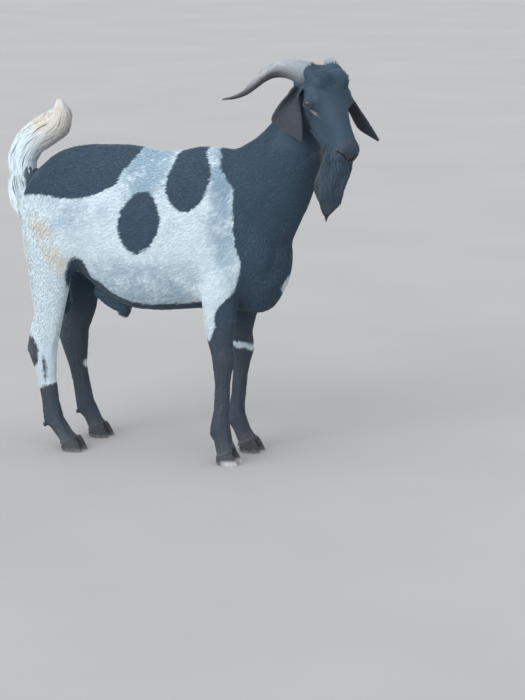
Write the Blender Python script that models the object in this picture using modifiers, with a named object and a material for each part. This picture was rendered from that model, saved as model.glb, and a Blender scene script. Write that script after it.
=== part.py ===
# A life-size standing goat: a short-coated, lop-eared, horned and bearded buck that looks round to its right.
#
# Frame: +X towards the chest, +Y the animal's left, +Z up, metres. The model is shaped with x = 0 between the
# forelegs and is moved at the end, so that the origin is the middle of its bounding box, on the floor.
# The flesh is lofted as one closed body, blended, and then parted with thin cuts into the named parts.

import math

import bmesh
import bpy
import numpy as np
from mathutils import Matrix, Vector

# Driving dimensions of the animal, out to the tips of its coat.
FORE_STANCE = 0.069  # a fore hoof's distance from the middle plane
HIND_STANCE = 0.077
FORE_HOOF_X = {"left": 0.073, "right": 0.068}  # the middle of each hoof's sole
HIND_HOOF_X = {"left": -0.336, "right": -0.338}
KNEE_X = {"left": 0.047, "right": 0.057}
FORE_FETLOCK_X = {"left": 0.031, "right": 0.047}
HOCK_X = {"left": -0.410, "right": -0.417}
HIND_FETLOCK_X = {"left": -0.375, "right": -0.391}
GASKIN_FORWARD = {"left": 0.011, "right": 0.0}  # the trailing thigh is the fuller one above its hock

HEAD_PLACE = Vector((0.313, -0.070, 0.879))  # midway between the eyes
HEAD_YAW = math.radians(-40)  # the head is turned to the animal's right
HEAD_PITCH = math.radians(42)  # and the line from eye to nose falls this much
EYE_APART = 0.048  # an eye's centre from the head's middle plane
EYE_RADIUS = 0.0145

HOOF_LENGTH = 0.057
HOOF_HALF_WIDTH = 0.0128
HOOF_SPLAY = math.radians(4)
CORONET_SLOPE = math.radians(27)  # the top of the hoof falls from toe to heel
CORONET_HEIGHT = 0.031  # at the middle of the hoof

GAP = 0.0005  # between neighbouring solids
VOXEL = 0.0048
BODY_FACES = 1980
HEAD_FACES = 1320
SIDES = {"left": 1, "right": -1}

COLOURS = {  # base colour, roughness
    "coat_white": ((0.74, 0.76, 0.76), 0.85),
    "coat_black": ((0.022, 0.024, 0.028), 0.75),
    "coat_brown": ((0.060, 0.040, 0.036), 0.80),
    "horn": ((0.30, 0.29, 0.27), 0.50),
    "hoof": ((0.060, 0.057, 0.053), 0.55),
    "eye": ((0.050, 0.025, 0.010), 0.10),
}


# ---- Tools ------------------------------------------------------------------


def clear_scene():
    for obj in list(bpy.data.objects):
        bpy.data.objects.remove(obj)


def collection(name, hidden=False):
    made = bpy.data.collections.new(name)
    bpy.context.scene.collection.children.link(made)
    made.hide_render = hidden
    return made


def material(slot):
    found = bpy.data.materials.get(slot)
    if found:
        return found
    colour, roughness = COLOURS[slot]
    found = bpy.data.materials.new(slot)
    found.use_nodes = True
    shader = found.node_tree.nodes["Principled BSDF"]
    shader.inputs["Base Color"].default_value = (*colour, 1)
    shader.inputs["Roughness"].default_value = roughness
    shader.inputs["Metallic"].default_value = 0
    return found


def add_object(name, mesh, group, slot=None):
    obj = bpy.data.objects.new(name, mesh)
    group.objects.link(obj)
    if slot:
        mesh.materials.clear()
        mesh.materials.append(material(slot))
    return obj


def add_cutter(name, mesh):
    obj = add_object(name, mesh, CUTTERS)
    obj.hide_render = True
    obj.display_type = "WIRE"
    return obj


def through(rows, steps):
    """Rows of numbers, joined by a smooth curve (Catmull-Rom) with `steps` rows for each span."""
    rows = np.array(rows, float)
    padded = np.vstack([2 * rows[0] - rows[1], rows, 2 * rows[-1] - rows[-2]])
    out = []
    for a, b, c, d in zip(padded, padded[1:], padded[2:], padded[3:]):
        for t in np.arange(steps) / steps:
            bend = (2 * a - 5 * b + 4 * c - d) * t**2 + (3 * b - a - 3 * c + d) * t**3
            out.append(0.5 * (2 * b + (c - a) * t + bend))
    return np.array([*out, rows[-1]])


def oval(centre, side, up, half_side, half_up, half_down, power, count):
    """A ring whose upper and lower halves may differ. Power 2 is an ellipse, more is squarer."""
    ring = []
    for k in range(count):
        angle = 2 * math.pi * k / count
        c, s = math.cos(angle), math.sin(angle)
        across = half_side * math.copysign(abs(c) ** (2 / power), c)
        height = (half_up if s > 0 else half_down) * math.copysign(abs(s) ** (2 / power), s)
        ring.append(Vector(centre) + Vector(side) * across + Vector(up) * height)
    return ring


def skin_rings(bm, rings):
    """Joins the rings with quads and closes both ends, as one closed body facing out."""
    loops = [[bm.verts.new(p) for p in ring] for ring in rings]
    faces = []
    for first, second in zip(loops, loops[1:]):
        for k in range(len(first)):
            faces.append(bm.faces.new((first[k - 1], first[k], second[k], second[k - 1])))
    faces.append(bm.faces.new(list(reversed(loops[0]))))
    faces.append(bm.faces.new(loops[-1]))
    bmesh.ops.recalc_face_normals(bm, faces=faces)


def blob(bm, centre, radii, turn=Matrix.Identity(4), detail=20):
    """An ellipsoid of muscle or bone under the coat."""
    place = Matrix.Translation(centre) @ turn @ Matrix.Diagonal((*radii, 1))
    bmesh.ops.create_uvsphere(bm, u_segments=detail, v_segments=detail // 2, radius=1, matrix=place)


def mesh_of(name, bm):
    mesh = bpy.data.meshes.new(name)
    bm.to_mesh(mesh)
    bm.free()
    return mesh


def add_boolean(obj, operation, other):
    cut = obj.modifiers.new(f"{operation.lower()} {other.name}", "BOOLEAN")
    cut.operation = operation
    cut.object = other


def evaluated_mesh(obj, name):
    graph = bpy.context.evaluated_depsgraph_get()
    return bpy.data.meshes.new_from_object(obj.evaluated_get(graph), depsgraph=graph).copy()


def smooth_shaded(mesh, angle=50):
    mesh.shade_smooth()
    mesh.set_sharp_from_angle(angle=math.radians(angle))


# The head's own frame: x from between the eyes to the nose, y to its left, z up out of the forehead.
HEAD = (
    Matrix.Translation(HEAD_PLACE)
    @ Matrix.Rotation(HEAD_YAW, 4, "Z")
    @ Matrix.Rotation(HEAD_PITCH, 4, "Y")
)
# The same place and heading, but level: x forward, z straight up.
LEVEL_HEAD = Matrix.Translation(HEAD_PLACE) @ Matrix.Rotation(HEAD_YAW, 4, "Z")


# ---- Flesh: the closed lofts that are blended into one body -----------------


def trunk(bm):
    # x, top, height of the widest place, bottom, half width there
    sections = [
        (-0.492, 0.628, 0.598, 0.566, 0.020),
        (-0.472, 0.655, 0.602, 0.520, 0.058),
        (-0.440, 0.694, 0.606, 0.478, 0.080),
        (-0.395, 0.728, 0.605, 0.452, 0.094),
        (-0.335, 0.744, 0.592, 0.424, 0.104),
        (-0.270, 0.748, 0.565, 0.382, 0.119),
        (-0.200, 0.749, 0.545, 0.352, 0.132),
        (-0.130, 0.738, 0.540, 0.350, 0.135),
        (-0.060, 0.745, 0.540, 0.358, 0.124),
        (0.005, 0.754, 0.540, 0.364, 0.108),
        (0.060, 0.747, 0.535, 0.364, 0.096),
        (0.110, 0.705, 0.520, 0.362, 0.084),
        (0.152, 0.650, 0.500, 0.372, 0.066),
        (0.184, 0.585, 0.495, 0.420, 0.042),
        (0.200, 0.540, 0.498, 0.462, 0.016),
    ]
    rings = []
    for x, top, widest, bottom, half in through(sections, 3):
        rings.append(oval((x, 0, widest), (0, 1, 0), (0, 0, 1), half, top - widest, widest - bottom, 2.12, 40))
    skin_rings(bm, rings)
    for side in SIDES.values():
        tilt = Matrix.Rotation(math.radians(-24), 4, "Y")
        blob(bm, (0.024, side * 0.070, 0.600), (0.062, 0.032, 0.130), tilt)
        blob(bm, (0.110, side * 0.052, 0.530), (0.060, 0.032, 0.085), tilt)
        blob(bm, (0.036, side * 0.064, 0.475), (0.090, 0.034, 0.090), tilt)
        blob(bm, (-0.322, side * 0.058, 0.692), (0.060, 0.030, 0.031))
        blob(bm, (-0.460, side * 0.040, 0.596), (0.028, 0.024, 0.036))
        blob(bm, (-0.385, side * 0.064, 0.612), (0.090, 0.036, 0.080), tilt)
    blob(bm, (0.112, 0, 0.402), (0.056, 0.042, 0.044))
    blob(bm, (-0.010, 0, 0.728), (0.070, 0.018, 0.030))


def sheath_and_scrotum(bm):
    along = [(-0.304, 0.400, 0.028), (-0.266, 0.370, 0.025), (-0.236, 0.349, 0.019), (-0.217, 0.336, 0.012)]
    rings = []
    for x, z, half in through(along, 3):
        rings.append(oval((x, 0, z), (0, 1, 0), (0.45, 0, 0.89), half, half, half, 2, 16))
    skin_rings(bm, rings)
    drop = [
        (-0.395, 0.470, 0.020),
        (-0.400, 0.430, 0.018),
        (-0.402, 0.390, 0.027),
        (-0.402, 0.350, 0.031),
        (-0.400, 0.318, 0.016),
    ]
    rings = []
    for x, z, half in through(drop, 3):
        rings.append(oval((x, 0, z), (0, 1, 0), (1, 0, 0), half, half, half, 2, 16))
    skin_rings(bm, rings)


def neck(bm):
    # The crest's x and z, the throat's x and z, the middle's y, half width, and how far the section has turned
    sections = [
        (-0.040, 0.735, 0.150, 0.450, 0.000, 0.078, 0.00),
        (0.050, 0.750, 0.188, 0.505, 0.000, 0.074, 0.00),
        (0.096, 0.772, 0.213, 0.560, 0.000, 0.068, 0.06),
        (0.132, 0.800, 0.244, 0.625, 0.000, 0.063, 0.14),
        (0.160, 0.832, 0.270, 0.700, -0.002, 0.058, 0.28),
        (0.190, 0.864, 0.278, 0.772, -0.008, 0.053, 0.50),
        (0.222, 0.896, 0.278, 0.834, -0.020, 0.047, 0.75),
        (0.254, 0.922, 0.290, 0.860, -0.036, 0.042, 1.00),
    ]
    rings = []
    for crest_x, crest_z, throat_x, throat_z, y, half, turned in through(sections, 4):
        middle = Vector(((crest_x + throat_x) / 2, y, (crest_z + throat_z) / 2))
        up = Vector((crest_x - throat_x, 0, crest_z - throat_z))
        reach = up.length / 2
        turn = Matrix.Rotation(HEAD_YAW * turned, 3, "Z")
        rings.append(oval(middle, turn @ Vector((0, 1, 0)), turn @ up.normalized(), half, reach, reach, 1.85, 32))
    skin_rings(bm, rings)


def skull(bm):
    side, up = HEAD.to_3x3() @ Vector((0, 1, 0)), HEAD.to_3x3() @ Vector((0, 0, 1))
    # x, top, height of the widest place, bottom, half width: first the cranium and face, then the lower jaw
    face = [
        (-0.100, 0.008, -0.008, -0.030, 0.020),
        (-0.086, 0.029, 0.000, -0.044, 0.038),
        (-0.064, 0.045, 0.004, -0.052, 0.046),
        (-0.036, 0.054, 0.006, -0.052, 0.048),
        (-0.006, 0.053, 0.006, -0.050, 0.046),
        (0.026, 0.039, 0.000, -0.046, 0.0390),
        (0.058, 0.029, -0.006, -0.044, 0.0315),
        (0.088, 0.021, -0.012, -0.044, 0.0270),
        (0.116, 0.014, -0.015, -0.047, 0.0270),
        (0.138, 0.007, -0.018, -0.050, 0.0285),
        (0.150, -0.003, -0.023, -0.051, 0.0255),
        (0.156, -0.014, -0.026, -0.044, 0.0140),
    ]
    jaw = [
        (-0.078, -0.010, -0.035, -0.066, 0.030),
        (-0.054, -0.010, -0.040, -0.085, 0.038),
        (-0.026, -0.010, -0.045, -0.089, 0.039),
        (0.010, -0.015, -0.045, -0.083, 0.033),
        (0.048, -0.020, -0.047, -0.075, 0.0275),
        (0.085, -0.024, -0.048, -0.071, 0.0250),
        (0.117, -0.026, -0.052, -0.079, 0.0245),
        (0.138, -0.034, -0.057, -0.083, 0.0240),
        (0.150, -0.042, -0.061, -0.079, 0.0165),
    ]
    for sections, power in ((face, 2.25), (jaw, 2.0)):
        rings = []
        for x, top, widest, bottom, half in through(sections, 3):
            centre = HEAD @ Vector((x, 0, widest))
            rings.append(oval(centre, side, up, half, top - widest, widest - bottom, power, 32))
        skin_rings(bm, rings)
    turn = HEAD.to_3x3().to_4x4()
    for s in SIDES.values():
        blob(bm, HEAD @ Vector((-0.004, s * 0.037, 0.008)), (0.034, 0.020, 0.029), turn)  # orbit
        blob(bm, HEAD @ Vector((-0.030, s * 0.034, -0.040)), (0.040, 0.015, 0.040), turn)  # cheek
        blob(bm, HEAD @ Vector((0.134, s * 0.015, -0.009)), (0.020, 0.013, 0.013), turn)  # nostril
        blob(bm, HEAD @ Vector((0.122, s * 0.015, -0.037)), (0.028, 0.015, 0.013), turn)  # lip
        blob(bm, HEAD @ Vector((-0.058, s * 0.031, 0.034)), (0.024, 0.021, 0.019), turn)  # horn's foot
        blob(bm, HEAD @ Vector((-0.062, s * 0.044, -0.004)), (0.022, 0.016, 0.020), turn)  # ear's foot
        blob(bm, HEAD @ Vector((-0.022, s * 0.022, 0.044)), (0.026, 0.026, 0.020), turn)  # forelock


def bent(z, joints):
    """The x of a leg's axis at height z, from its joints (height, x) from the top down."""
    heights, places = zip(*reversed(joints))
    return float(np.interp(z, heights, places))


def leg(bm, side, joints, sections):
    # sections: height, reach to the front, reach to the back, half width, distance from the middle plane
    rings = []
    for z, front, back, half, apart in through(sections, 3):
        centre = (bent(z, joints), SIDES[side] * apart, z)
        rings.append(oval(centre, (0, 1, 0), (1, 0, 0), half, front, back, 2.0, 24))
    skin_rings(bm, rings)


def foreleg(bm, side):
    hoof = FORE_HOOF_X[side]
    joints = [
        (0.520, 0.062),
        (0.410, 0.050),
        (0.300, KNEE_X[side] - 0.007),
        (0.255, KNEE_X[side]),
        (0.085, FORE_FETLOCK_X[side]),
        (0.010, hoof - 0.002),
    ]
    leg(bm, side, joints, [
        (0.500, 0.055, 0.064, 0.030, 0.066),
        (0.450, 0.052, 0.062, 0.033, 0.071),
        (0.410, 0.045, 0.052, 0.032, 0.075),
        (0.370, 0.043, 0.045, 0.029, 0.077),
        (0.330, 0.038, 0.041, 0.026, 0.078),
        (0.295, 0.0310, 0.0320, 0.0245, 0.077),
        (0.258, 0.0285, 0.0275, 0.0265, 0.076),
        (0.225, 0.0245, 0.0245, 0.0225, 0.075),
        (0.195, 0.0200, 0.0195, 0.0188, 0.074),
        (0.140, 0.0190, 0.0190, 0.0178, 0.072),
        (0.105, 0.0210, 0.0230, 0.0200, 0.071),
        (0.083, 0.0250, 0.0285, 0.0235, FORE_STANCE),
        (0.060, 0.0215, 0.0260, 0.0225, FORE_STANCE),
        (0.040, 0.0240, 0.0250, 0.0255, FORE_STANCE),
        (0.010, 0.0300, 0.0280, 0.0290, FORE_STANCE),
    ])
    dewclaws(bm, (FORE_FETLOCK_X[side] - 0.020, SIDES[side] * FORE_STANCE, 0.072))


def hindleg(bm, side):
    hoof = HIND_HOOF_X[side]
    fuller = GASKIN_FORWARD[side]
    joints = [
        (0.660, -0.385),
        (0.540, -0.385),
        (0.420, -0.392),
        (0.340, -0.396),
        (0.250, HOCK_X[side]),
        (0.190, HOCK_X[side] + 0.011),
        (0.075, HIND_FETLOCK_X[side]),
        (0.010, hoof),
    ]
    leg(bm, side, joints, [
        (0.660, 0.060, 0.062, 0.036, 0.050),
        (0.600, 0.090, 0.090, 0.046, 0.060),
        (0.540, 0.092, 0.086, 0.048, 0.068),
        (0.485, 0.078, 0.074, 0.044, 0.076),
        (0.430, 0.056, 0.058, 0.037, 0.081),
        (0.370, 0.045 + fuller, 0.046, 0.030, 0.083),
        (0.315, 0.039 + fuller, 0.041, 0.0265, 0.083),
        (0.275, 0.040, 0.042, 0.0250, 0.082),
        (0.245, 0.038, 0.041, 0.0265, 0.082),
        (0.210, 0.029, 0.034, 0.0240, 0.081),
        (0.175, 0.0220, 0.0280, 0.0200, 0.080),
        (0.125, 0.0210, 0.0260, 0.0180, 0.079),
        (0.090, 0.0235, 0.0270, 0.0200, 0.078),
        (0.070, 0.0260, 0.0285, 0.0235, HIND_STANCE),
        (0.050, 0.0230, 0.0260, 0.0225, HIND_STANCE),
        (0.035, 0.0240, 0.0250, 0.0255, HIND_STANCE),
        (0.010, 0.0300, 0.0280, 0.0290, HIND_STANCE),
    ])
    dewclaws(bm, (HIND_FETLOCK_X[side] - 0.021, SIDES[side] * HIND_STANCE, 0.060))


def dewclaws(bm, place):
    for apart in (-0.012, 0.012):
        blob(bm, Vector(place) + Vector((0, apart, 0)), (0.0080, 0.0075, 0.0110), detail=12)


def tail(bm):
    # x, z, half depth, half width: the raised tail with its brush of hair
    sections = [
        (-0.440, 0.640, 0.028, 0.026),
        (-0.478, 0.646, 0.034, 0.030),
        (-0.502, 0.668, 0.038, 0.033),
        (-0.502, 0.705, 0.038, 0.034),
        (-0.480, 0.743, 0.038, 0.034),
        (-0.442, 0.770, 0.040, 0.034),
        (-0.407, 0.791, 0.040, 0.032),
        (-0.393, 0.820, 0.030, 0.022),
        (-0.400, 0.850, 0.008, 0.007),
    ]
    rows = through(sections, 4)
    rings = []
    for here, after in zip(rows, [*rows[1:], 2 * rows[-1] - rows[-2]]):
        along = Vector((after[0] - here[0], 0, after[1] - here[1])).normalized()
        up = Vector((along.z, 0, -along.x))
        rings.append(oval((here[0], 0, here[1]), (0, 1, 0), up, here[3], here[2], here[2], 2.0, 24))
    skin_rings(bm, rings)
    # The long hair that hangs from the tail's root: x, z, half depth, half width
    fringe = [
        (-0.500, 0.700, 0.034, 0.030),
        (-0.504, 0.662, 0.040, 0.036),
        (-0.505, 0.628, 0.039, 0.037),
        (-0.502, 0.596, 0.035, 0.032),
        (-0.498, 0.566, 0.026, 0.022),
        (-0.494, 0.540, 0.009, 0.008),
    ]
    rings = []
    for x, z, depth, half in through(fringe, 3):
        rings.append(oval((x, 0, z), (0, 1, 0), (1, 0, 0), half, depth, depth, 2.0, 20))
    skin_rings(bm, rings)


def blended_flesh():
    bm = bmesh.new()
    trunk(bm)
    sheath_and_scrotum(bm)
    neck(bm)
    skull(bm)
    tail(bm)
    for side in SIDES:
        foreleg(bm, side)
        hindleg(bm, side)
    flesh = add_cutter("flesh", mesh_of("flesh", bm))
    blend = flesh.modifiers.new("blend", "REMESH")
    blend.mode = "VOXEL"
    blend.voxel_size = VOXEL
    soften = flesh.modifiers.new("soften", "SMOOTH")
    soften.factor = 0.5
    soften.iterations = 6
    flesh.data = evaluated_mesh(flesh, "flesh")
    flesh.modifiers.clear()
    barrel = flesh.vertex_groups.new(name="barrel")
    for v in flesh.data.vertices:
        high = min(max((v.co.z - 0.40) / 0.06, 0), 1)
        behind_neck = min(max((0.16 - v.co.x) / 0.06, 0), 1)
        before_tail = min(max((v.co.x + 0.46) / 0.04, 0), 1)
        barrel.add([v.index], high * behind_neck * before_tail, "REPLACE")
    even = flesh.modifiers.new("even", "SMOOTH")
    even.factor = 0.5
    even.iterations = 50
    even.vertex_group = "barrel"
    flesh.data = evaluated_mesh(flesh, "flesh")
    flesh.modifiers.clear()
    thin_out(flesh, "body", lambda point: not in_head(point), BODY_FACES)
    thin_out(flesh, "head", in_head, HEAD_FACES)
    return flesh


def in_head(point):
    local = HEAD.inverted() @ point
    return local.x > -0.10 and local.z > -0.11 and abs(local.y) < 0.10


def thin_out(flesh, name, chosen, faces):
    """Brings the triangles of one region down to a number and leaves the rest as they are."""
    inside = {v.index for v in flesh.data.vertices if chosen(v.co)}
    flesh.vertex_groups.new(name=name).add(list(inside), 1.0, "REPLACE")
    flesh.data.calc_loop_triangles()
    triangles = flesh.data.loop_triangles
    others = sum(not inside.issuperset(t.vertices) for t in triangles)
    fewer = flesh.modifiers.new(name, "DECIMATE")
    fewer.vertex_group = name
    fewer.ratio = (others + faces) / len(triangles)
    flesh.data = evaluated_mesh(flesh, "flesh")
    flesh.modifiers.clear()


# ---- Where the flesh is parted ----------------------------------------------


def grown(outline, by):
    """A polygon, listed counter-clockwise, with each side moved out."""
    out = []
    for before, here, after in zip([outline[-1], *outline], outline, [*outline[1:], outline[0]]):
        first = (Vector(here) - Vector(before)).normalized()
        second = (Vector(after) - Vector(here)).normalized()
        one, two = Vector((first.y, -first.x)), Vector((second.y, -second.x))
        out.append(Vector(here) + (one + two) * by / (1 + one.dot(two)))
    return out


def cutter_of(name, region, grow=0.0):
    """A prism from a region: its outline in the x and z of a frame, and its reach along that frame's y."""
    outline, (low, high), frame = region
    outline = grown([Vector(p) for p in outline], grow)
    bm = bmesh.new()
    rings = [[frame @ Vector((p.x, y, p.y)) for p in outline] for y in (low - grow, high + grow)]
    skin_rings(bm, rings)
    return add_cutter(name, mesh_of(name, bm))


def level_frame(point, slope):
    """A frame at a point of the middle plane whose x axis rises by this many degrees."""
    return Matrix.Translation(point) @ Matrix.Rotation(math.radians(-slope), 4, "Y")


WORLD = Matrix.Identity(4)
FRONT_REGION = [(0, -0.17), (0.60, -0.17), (0.60, 0.30), (0, 0.30)]
FRONT_FRAME = level_frame((0.125, 0, 0.650), 37)
HEAD_REGION = [(0, -0.15), (0.30, -0.15), (0.30, 0.14), (0, 0.14)]
HEAD_FRAME = HEAD @ Matrix.Translation((-0.074, 0, -0.02)) @ Matrix.Rotation(math.radians(-21), 4, "Y")
TAIL_REGION = [
    (-0.70, 0.50),
    (-0.496, 0.50),
    (-0.494, 0.600),
    (-0.474, 0.660),
    (-0.446, 0.712),
    (-0.420, 0.738),
    (-0.370, 0.758),
    (-0.280, 0.80),
    (-0.280, 1.0),
    (-0.70, 1.0),
]
FORELEG_REGION = [(-0.055, -0.05), (0.140, -0.05), (0.140, 0.326), (0.100, 0.364), (0.0, 0.364), (-0.055, 0.326)]
HINDLEG_REGION = [(-0.56, -0.05), (-0.20, -0.05), (-0.322, 0.30), (-0.322, 0.435), (-0.306, 0.474), (-0.56, 0.592)]
KNEE_CUT, HOCK_CUT = 0.262, 0.260


def part_regions():
    regions = {
        "front": (FRONT_REGION, (-0.30, 0.30), FRONT_FRAME),
        "head": (HEAD_REGION, (-0.14, 0.17), HEAD_FRAME),
        "tail": (TAIL_REGION, (-0.10, 0.10), WORLD),
    }
    for side, s in SIDES.items():
        regions[f"foreleg_{side}"] = (FORELEG_REGION, sorted((s * 0.034, s * 0.200)), WORLD)
        regions[f"hindleg_{side}"] = (HINDLEG_REGION, sorted((s * 0.034, s * 0.200)), WORLD)
    return regions


def slab(name, low, high):
    return cutter_of(name, ([(-1, low), (1, low), (1, high), (-1, high)], (-1, 1), WORLD))


def piece_of(name, flesh, slot, inside=(), outside=()):
    obj = add_object(name, flesh.data.copy(), GOAT, slot)
    for other in inside:
        add_boolean(obj, "INTERSECT", other)
    for other in outside:
        add_boolean(obj, "DIFFERENCE", other)
    smooth_shaded(obj.data)
    return obj


def parted_flesh(flesh):
    regions = part_regions()
    exact = {name: cutter_of(f"in_{name}", region) for name, region in regions.items()}
    wide = {name: cutter_of(f"off_{name}", region, GAP) for name, region in regions.items()}
    legs = [wide[name] for name in wide if "leg" in name]
    piece_of("trunk", flesh, "coat_white", outside=[wide["front"], wide["tail"], *legs])
    piece_of("neck", flesh, "coat_black", inside=[exact["front"]], outside=[wide["head"]])
    piece_of("tail", flesh, "coat_white", inside=[exact["tail"]])
    head = piece_of("head", flesh, "coat_black", inside=[exact["head"]])
    for side in SIDES:
        for limb, cut, upper, lower in (
            ("foreleg", KNEE_CUT, "forearm", "forefoot"),
            ("hindleg", HOCK_CUT, "thigh", "hindfoot"),
        ):
            whole = exact[f"{limb}_{side}"]
            above = slab(f"above_{limb}_{side}", cut, 1)
            below = slab(f"below_{limb}_{side}", -0.1, cut - GAP)
            hooves = hoof_space(limb, side)
            white = limb == "hindleg" and side == "right"  # the only mostly white leg
            piece_of(f"{upper}_{side}", flesh, "coat_white" if white else "coat_black", inside=[whole, above])
            piece_of(f"{lower}_{side}", flesh, "coat_black", inside=[whole, below], outside=[hooves])
    return head


# ---- Hooves -----------------------------------------------------------------


def hoof_place(limb, side):
    x = FORE_HOOF_X[side] if limb == "foreleg" else HIND_HOOF_X[side]
    apart = FORE_STANCE if limb == "foreleg" else HIND_STANCE
    return Vector((x, SIDES[side] * apart, 0))


def hoof_space(limb, side):
    """Everything below the sloping coronet of one foot."""
    at = hoof_place(limb, side) + Vector((0, 0, CORONET_HEIGHT + GAP))
    frame = Matrix.Translation(at) @ Matrix.Rotation(-CORONET_SLOPE, 4, "Y")
    outline = [(-0.12, -0.10), (0.12, -0.10), (0.12, 0), (-0.12, 0)]
    return cutter_of(f"hoof_{limb}_{side}", (outline, (-0.06, 0.06), frame))


def claw_ring(height, toe, heel, half):
    """One level of a claw: rounded at the heel, drawn out at the toe, flatter on its inner side."""
    ring = []
    for k in range(14):
        angle = 2 * math.pi * k / 14
        x = (toe + heel) / 2 + (toe - heel) / 2 * math.cos(angle)
        width = half * (1.06 - 0.34 * math.cos(angle)) * math.sin(angle)
        y = width * (0.80 if width < 0 else 1.10)
        ring.append(Vector((x, y, height(x))))
    return ring


def claw(name, limb, side, outward):
    """outward is +1 or -1: the side of the foot that this claw is on."""
    half = HOOF_LENGTH / 2

    def coronet(x):
        return CORONET_HEIGHT + x * math.tan(CORONET_SLOPE)

    levels = [
        claw_ring(lambda x: 0.0, half - 0.0008, -half + 0.004, HOOF_HALF_WIDTH * 0.98),
        claw_ring(lambda x: 0.0015, half, -half + 0.003, HOOF_HALF_WIDTH * 1.02),
        claw_ring(lambda x: coronet(x) * 0.45, half - 0.008, -half, HOOF_HALF_WIDTH * 1.03),
        claw_ring(lambda x: coronet(x) * 0.80, half - 0.015, -half + 0.001, HOOF_HALF_WIDTH * 0.99),
        claw_ring(coronet, half - 0.020, -half + 0.004, HOOF_HALF_WIDTH * 0.92),
    ]
    apart = HOOF_HALF_WIDTH * 0.80 * 1.40 + 0.0006
    turn = Matrix.Rotation(-outward * HOOF_SPLAY * -1, 4, "Z")
    place = Matrix.Translation(hoof_place(limb, side) + Vector((0, outward * apart, 0))) @ turn
    mirror = Matrix.Diagonal((1, outward, 1, 1))
    bm = bmesh.new()
    skin_rings(bm, [[place @ (mirror @ p) for p in ring] for ring in levels])
    obj = add_object(name, mesh_of(name, bm), GOAT, "hoof")
    smooth_shaded(obj.data, 35)
    return obj


# ---- Head pieces ------------------------------------------------------------


def surface_cutter(name, source, grow):
    """The evaluated solid, grown along its normals, to fit a neighbour against it with a gap."""
    obj = add_cutter(name, evaluated_mesh(source, name))
    swell = obj.modifiers.new("swell", "DISPLACE")
    swell.mid_level = 0
    swell.strength = grow
    return obj


def eyes(head):
    for side, s in SIDES.items():
        place = HEAD @ Matrix.Translation((0.003, s * EYE_APART, 0.002))
        for name, radius in ((f"eye_{side}", EYE_RADIUS), (f"socket_{side}", EYE_RADIUS + GAP)):
            bm = bmesh.new()
            bmesh.ops.create_uvsphere(bm, u_segments=14, v_segments=9, radius=radius, matrix=place)
            mesh = mesh_of(name, bm)
            if name.startswith("eye"):
                smooth_shaded(add_object(name, mesh, GOAT, "eye").data)
            else:
                add_boolean(head, "DIFFERENCE", add_cutter(name, mesh))


def horn(side, skin):
    s = SIDES[side]
    # In the level head frame: forward, sideways, up, half breadth, half thickness, twist in degrees
    sections = [
        (-0.022, 0.028, 0.060, 0.0150, 0.0120, 0),
        (-0.040, 0.038, 0.067, 0.0240, 0.0175, 0),
        (-0.076, 0.052, 0.070, 0.0222, 0.0158, 8),
        (-0.104, 0.065, 0.068, 0.0193, 0.0138, 18),
        (-0.124, 0.080, 0.061, 0.0162, 0.0115, 28),
        (-0.138, 0.096, 0.047, 0.0134, 0.0095, 36),
        (-0.149, 0.113, 0.028, 0.0102, 0.0074, 44),
        (-0.159, 0.128, 0.012, 0.0066, 0.0052, 50),
        (-0.174, 0.148, 0.001, 0.0042, 0.0036, 50),
        (-0.196, 0.168, -0.005, 0.0014, 0.0014, 50),
    ]
    rows = through(sections, 2)
    rings = []
    for here, after in zip(rows, [*rows[1:], 2 * rows[-1] - rows[-2]]):
        at = Vector((here[0], s * here[1], here[2]))
        along = (Vector((after[0], s * after[1], after[2])) - at).normalized()
        across = along.cross(Vector((0, s, 0.25))).normalized()
        across = Matrix.Rotation(math.radians(s * here[5]), 3, along) @ across
        flat = along.cross(across).normalized()
        ring = oval(at, flat, across, here[4], here[3], here[3], 2.2, 10)
        rings.append([LEVEL_HEAD @ p for p in ring])
    bm = bmesh.new()
    skin_rings(bm, rings)
    obj = add_object(f"horn_{side}", mesh_of(f"horn_{side}", bm), GOAT, "horn")
    smooth_shaded(obj.data)
    add_boolean(obj, "DIFFERENCE", skin)


# Each ear in the level head frame: where it leaves the head, the way it hangs and where its leading edge faces
EARS = {
    "right": {
        "base": (-0.040, -0.046, 0.022),
        "along": (-0.12, -0.05, -0.99),
        "length": 0.124,
        "edge": (0.74, 0.67, 0.0),
    },
    "left": {
        "base": (-0.046, 0.040, 0.018),
        "along": (0.31, 0.46, -0.83),
        "length": 0.160,
        "edge": (1.00, -0.06, 0.0),
    },
}
EAR_STALK = 0.021
EAR_HALF_WIDTH = 0.036
EAR_THICKNESS = 0.0050


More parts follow.
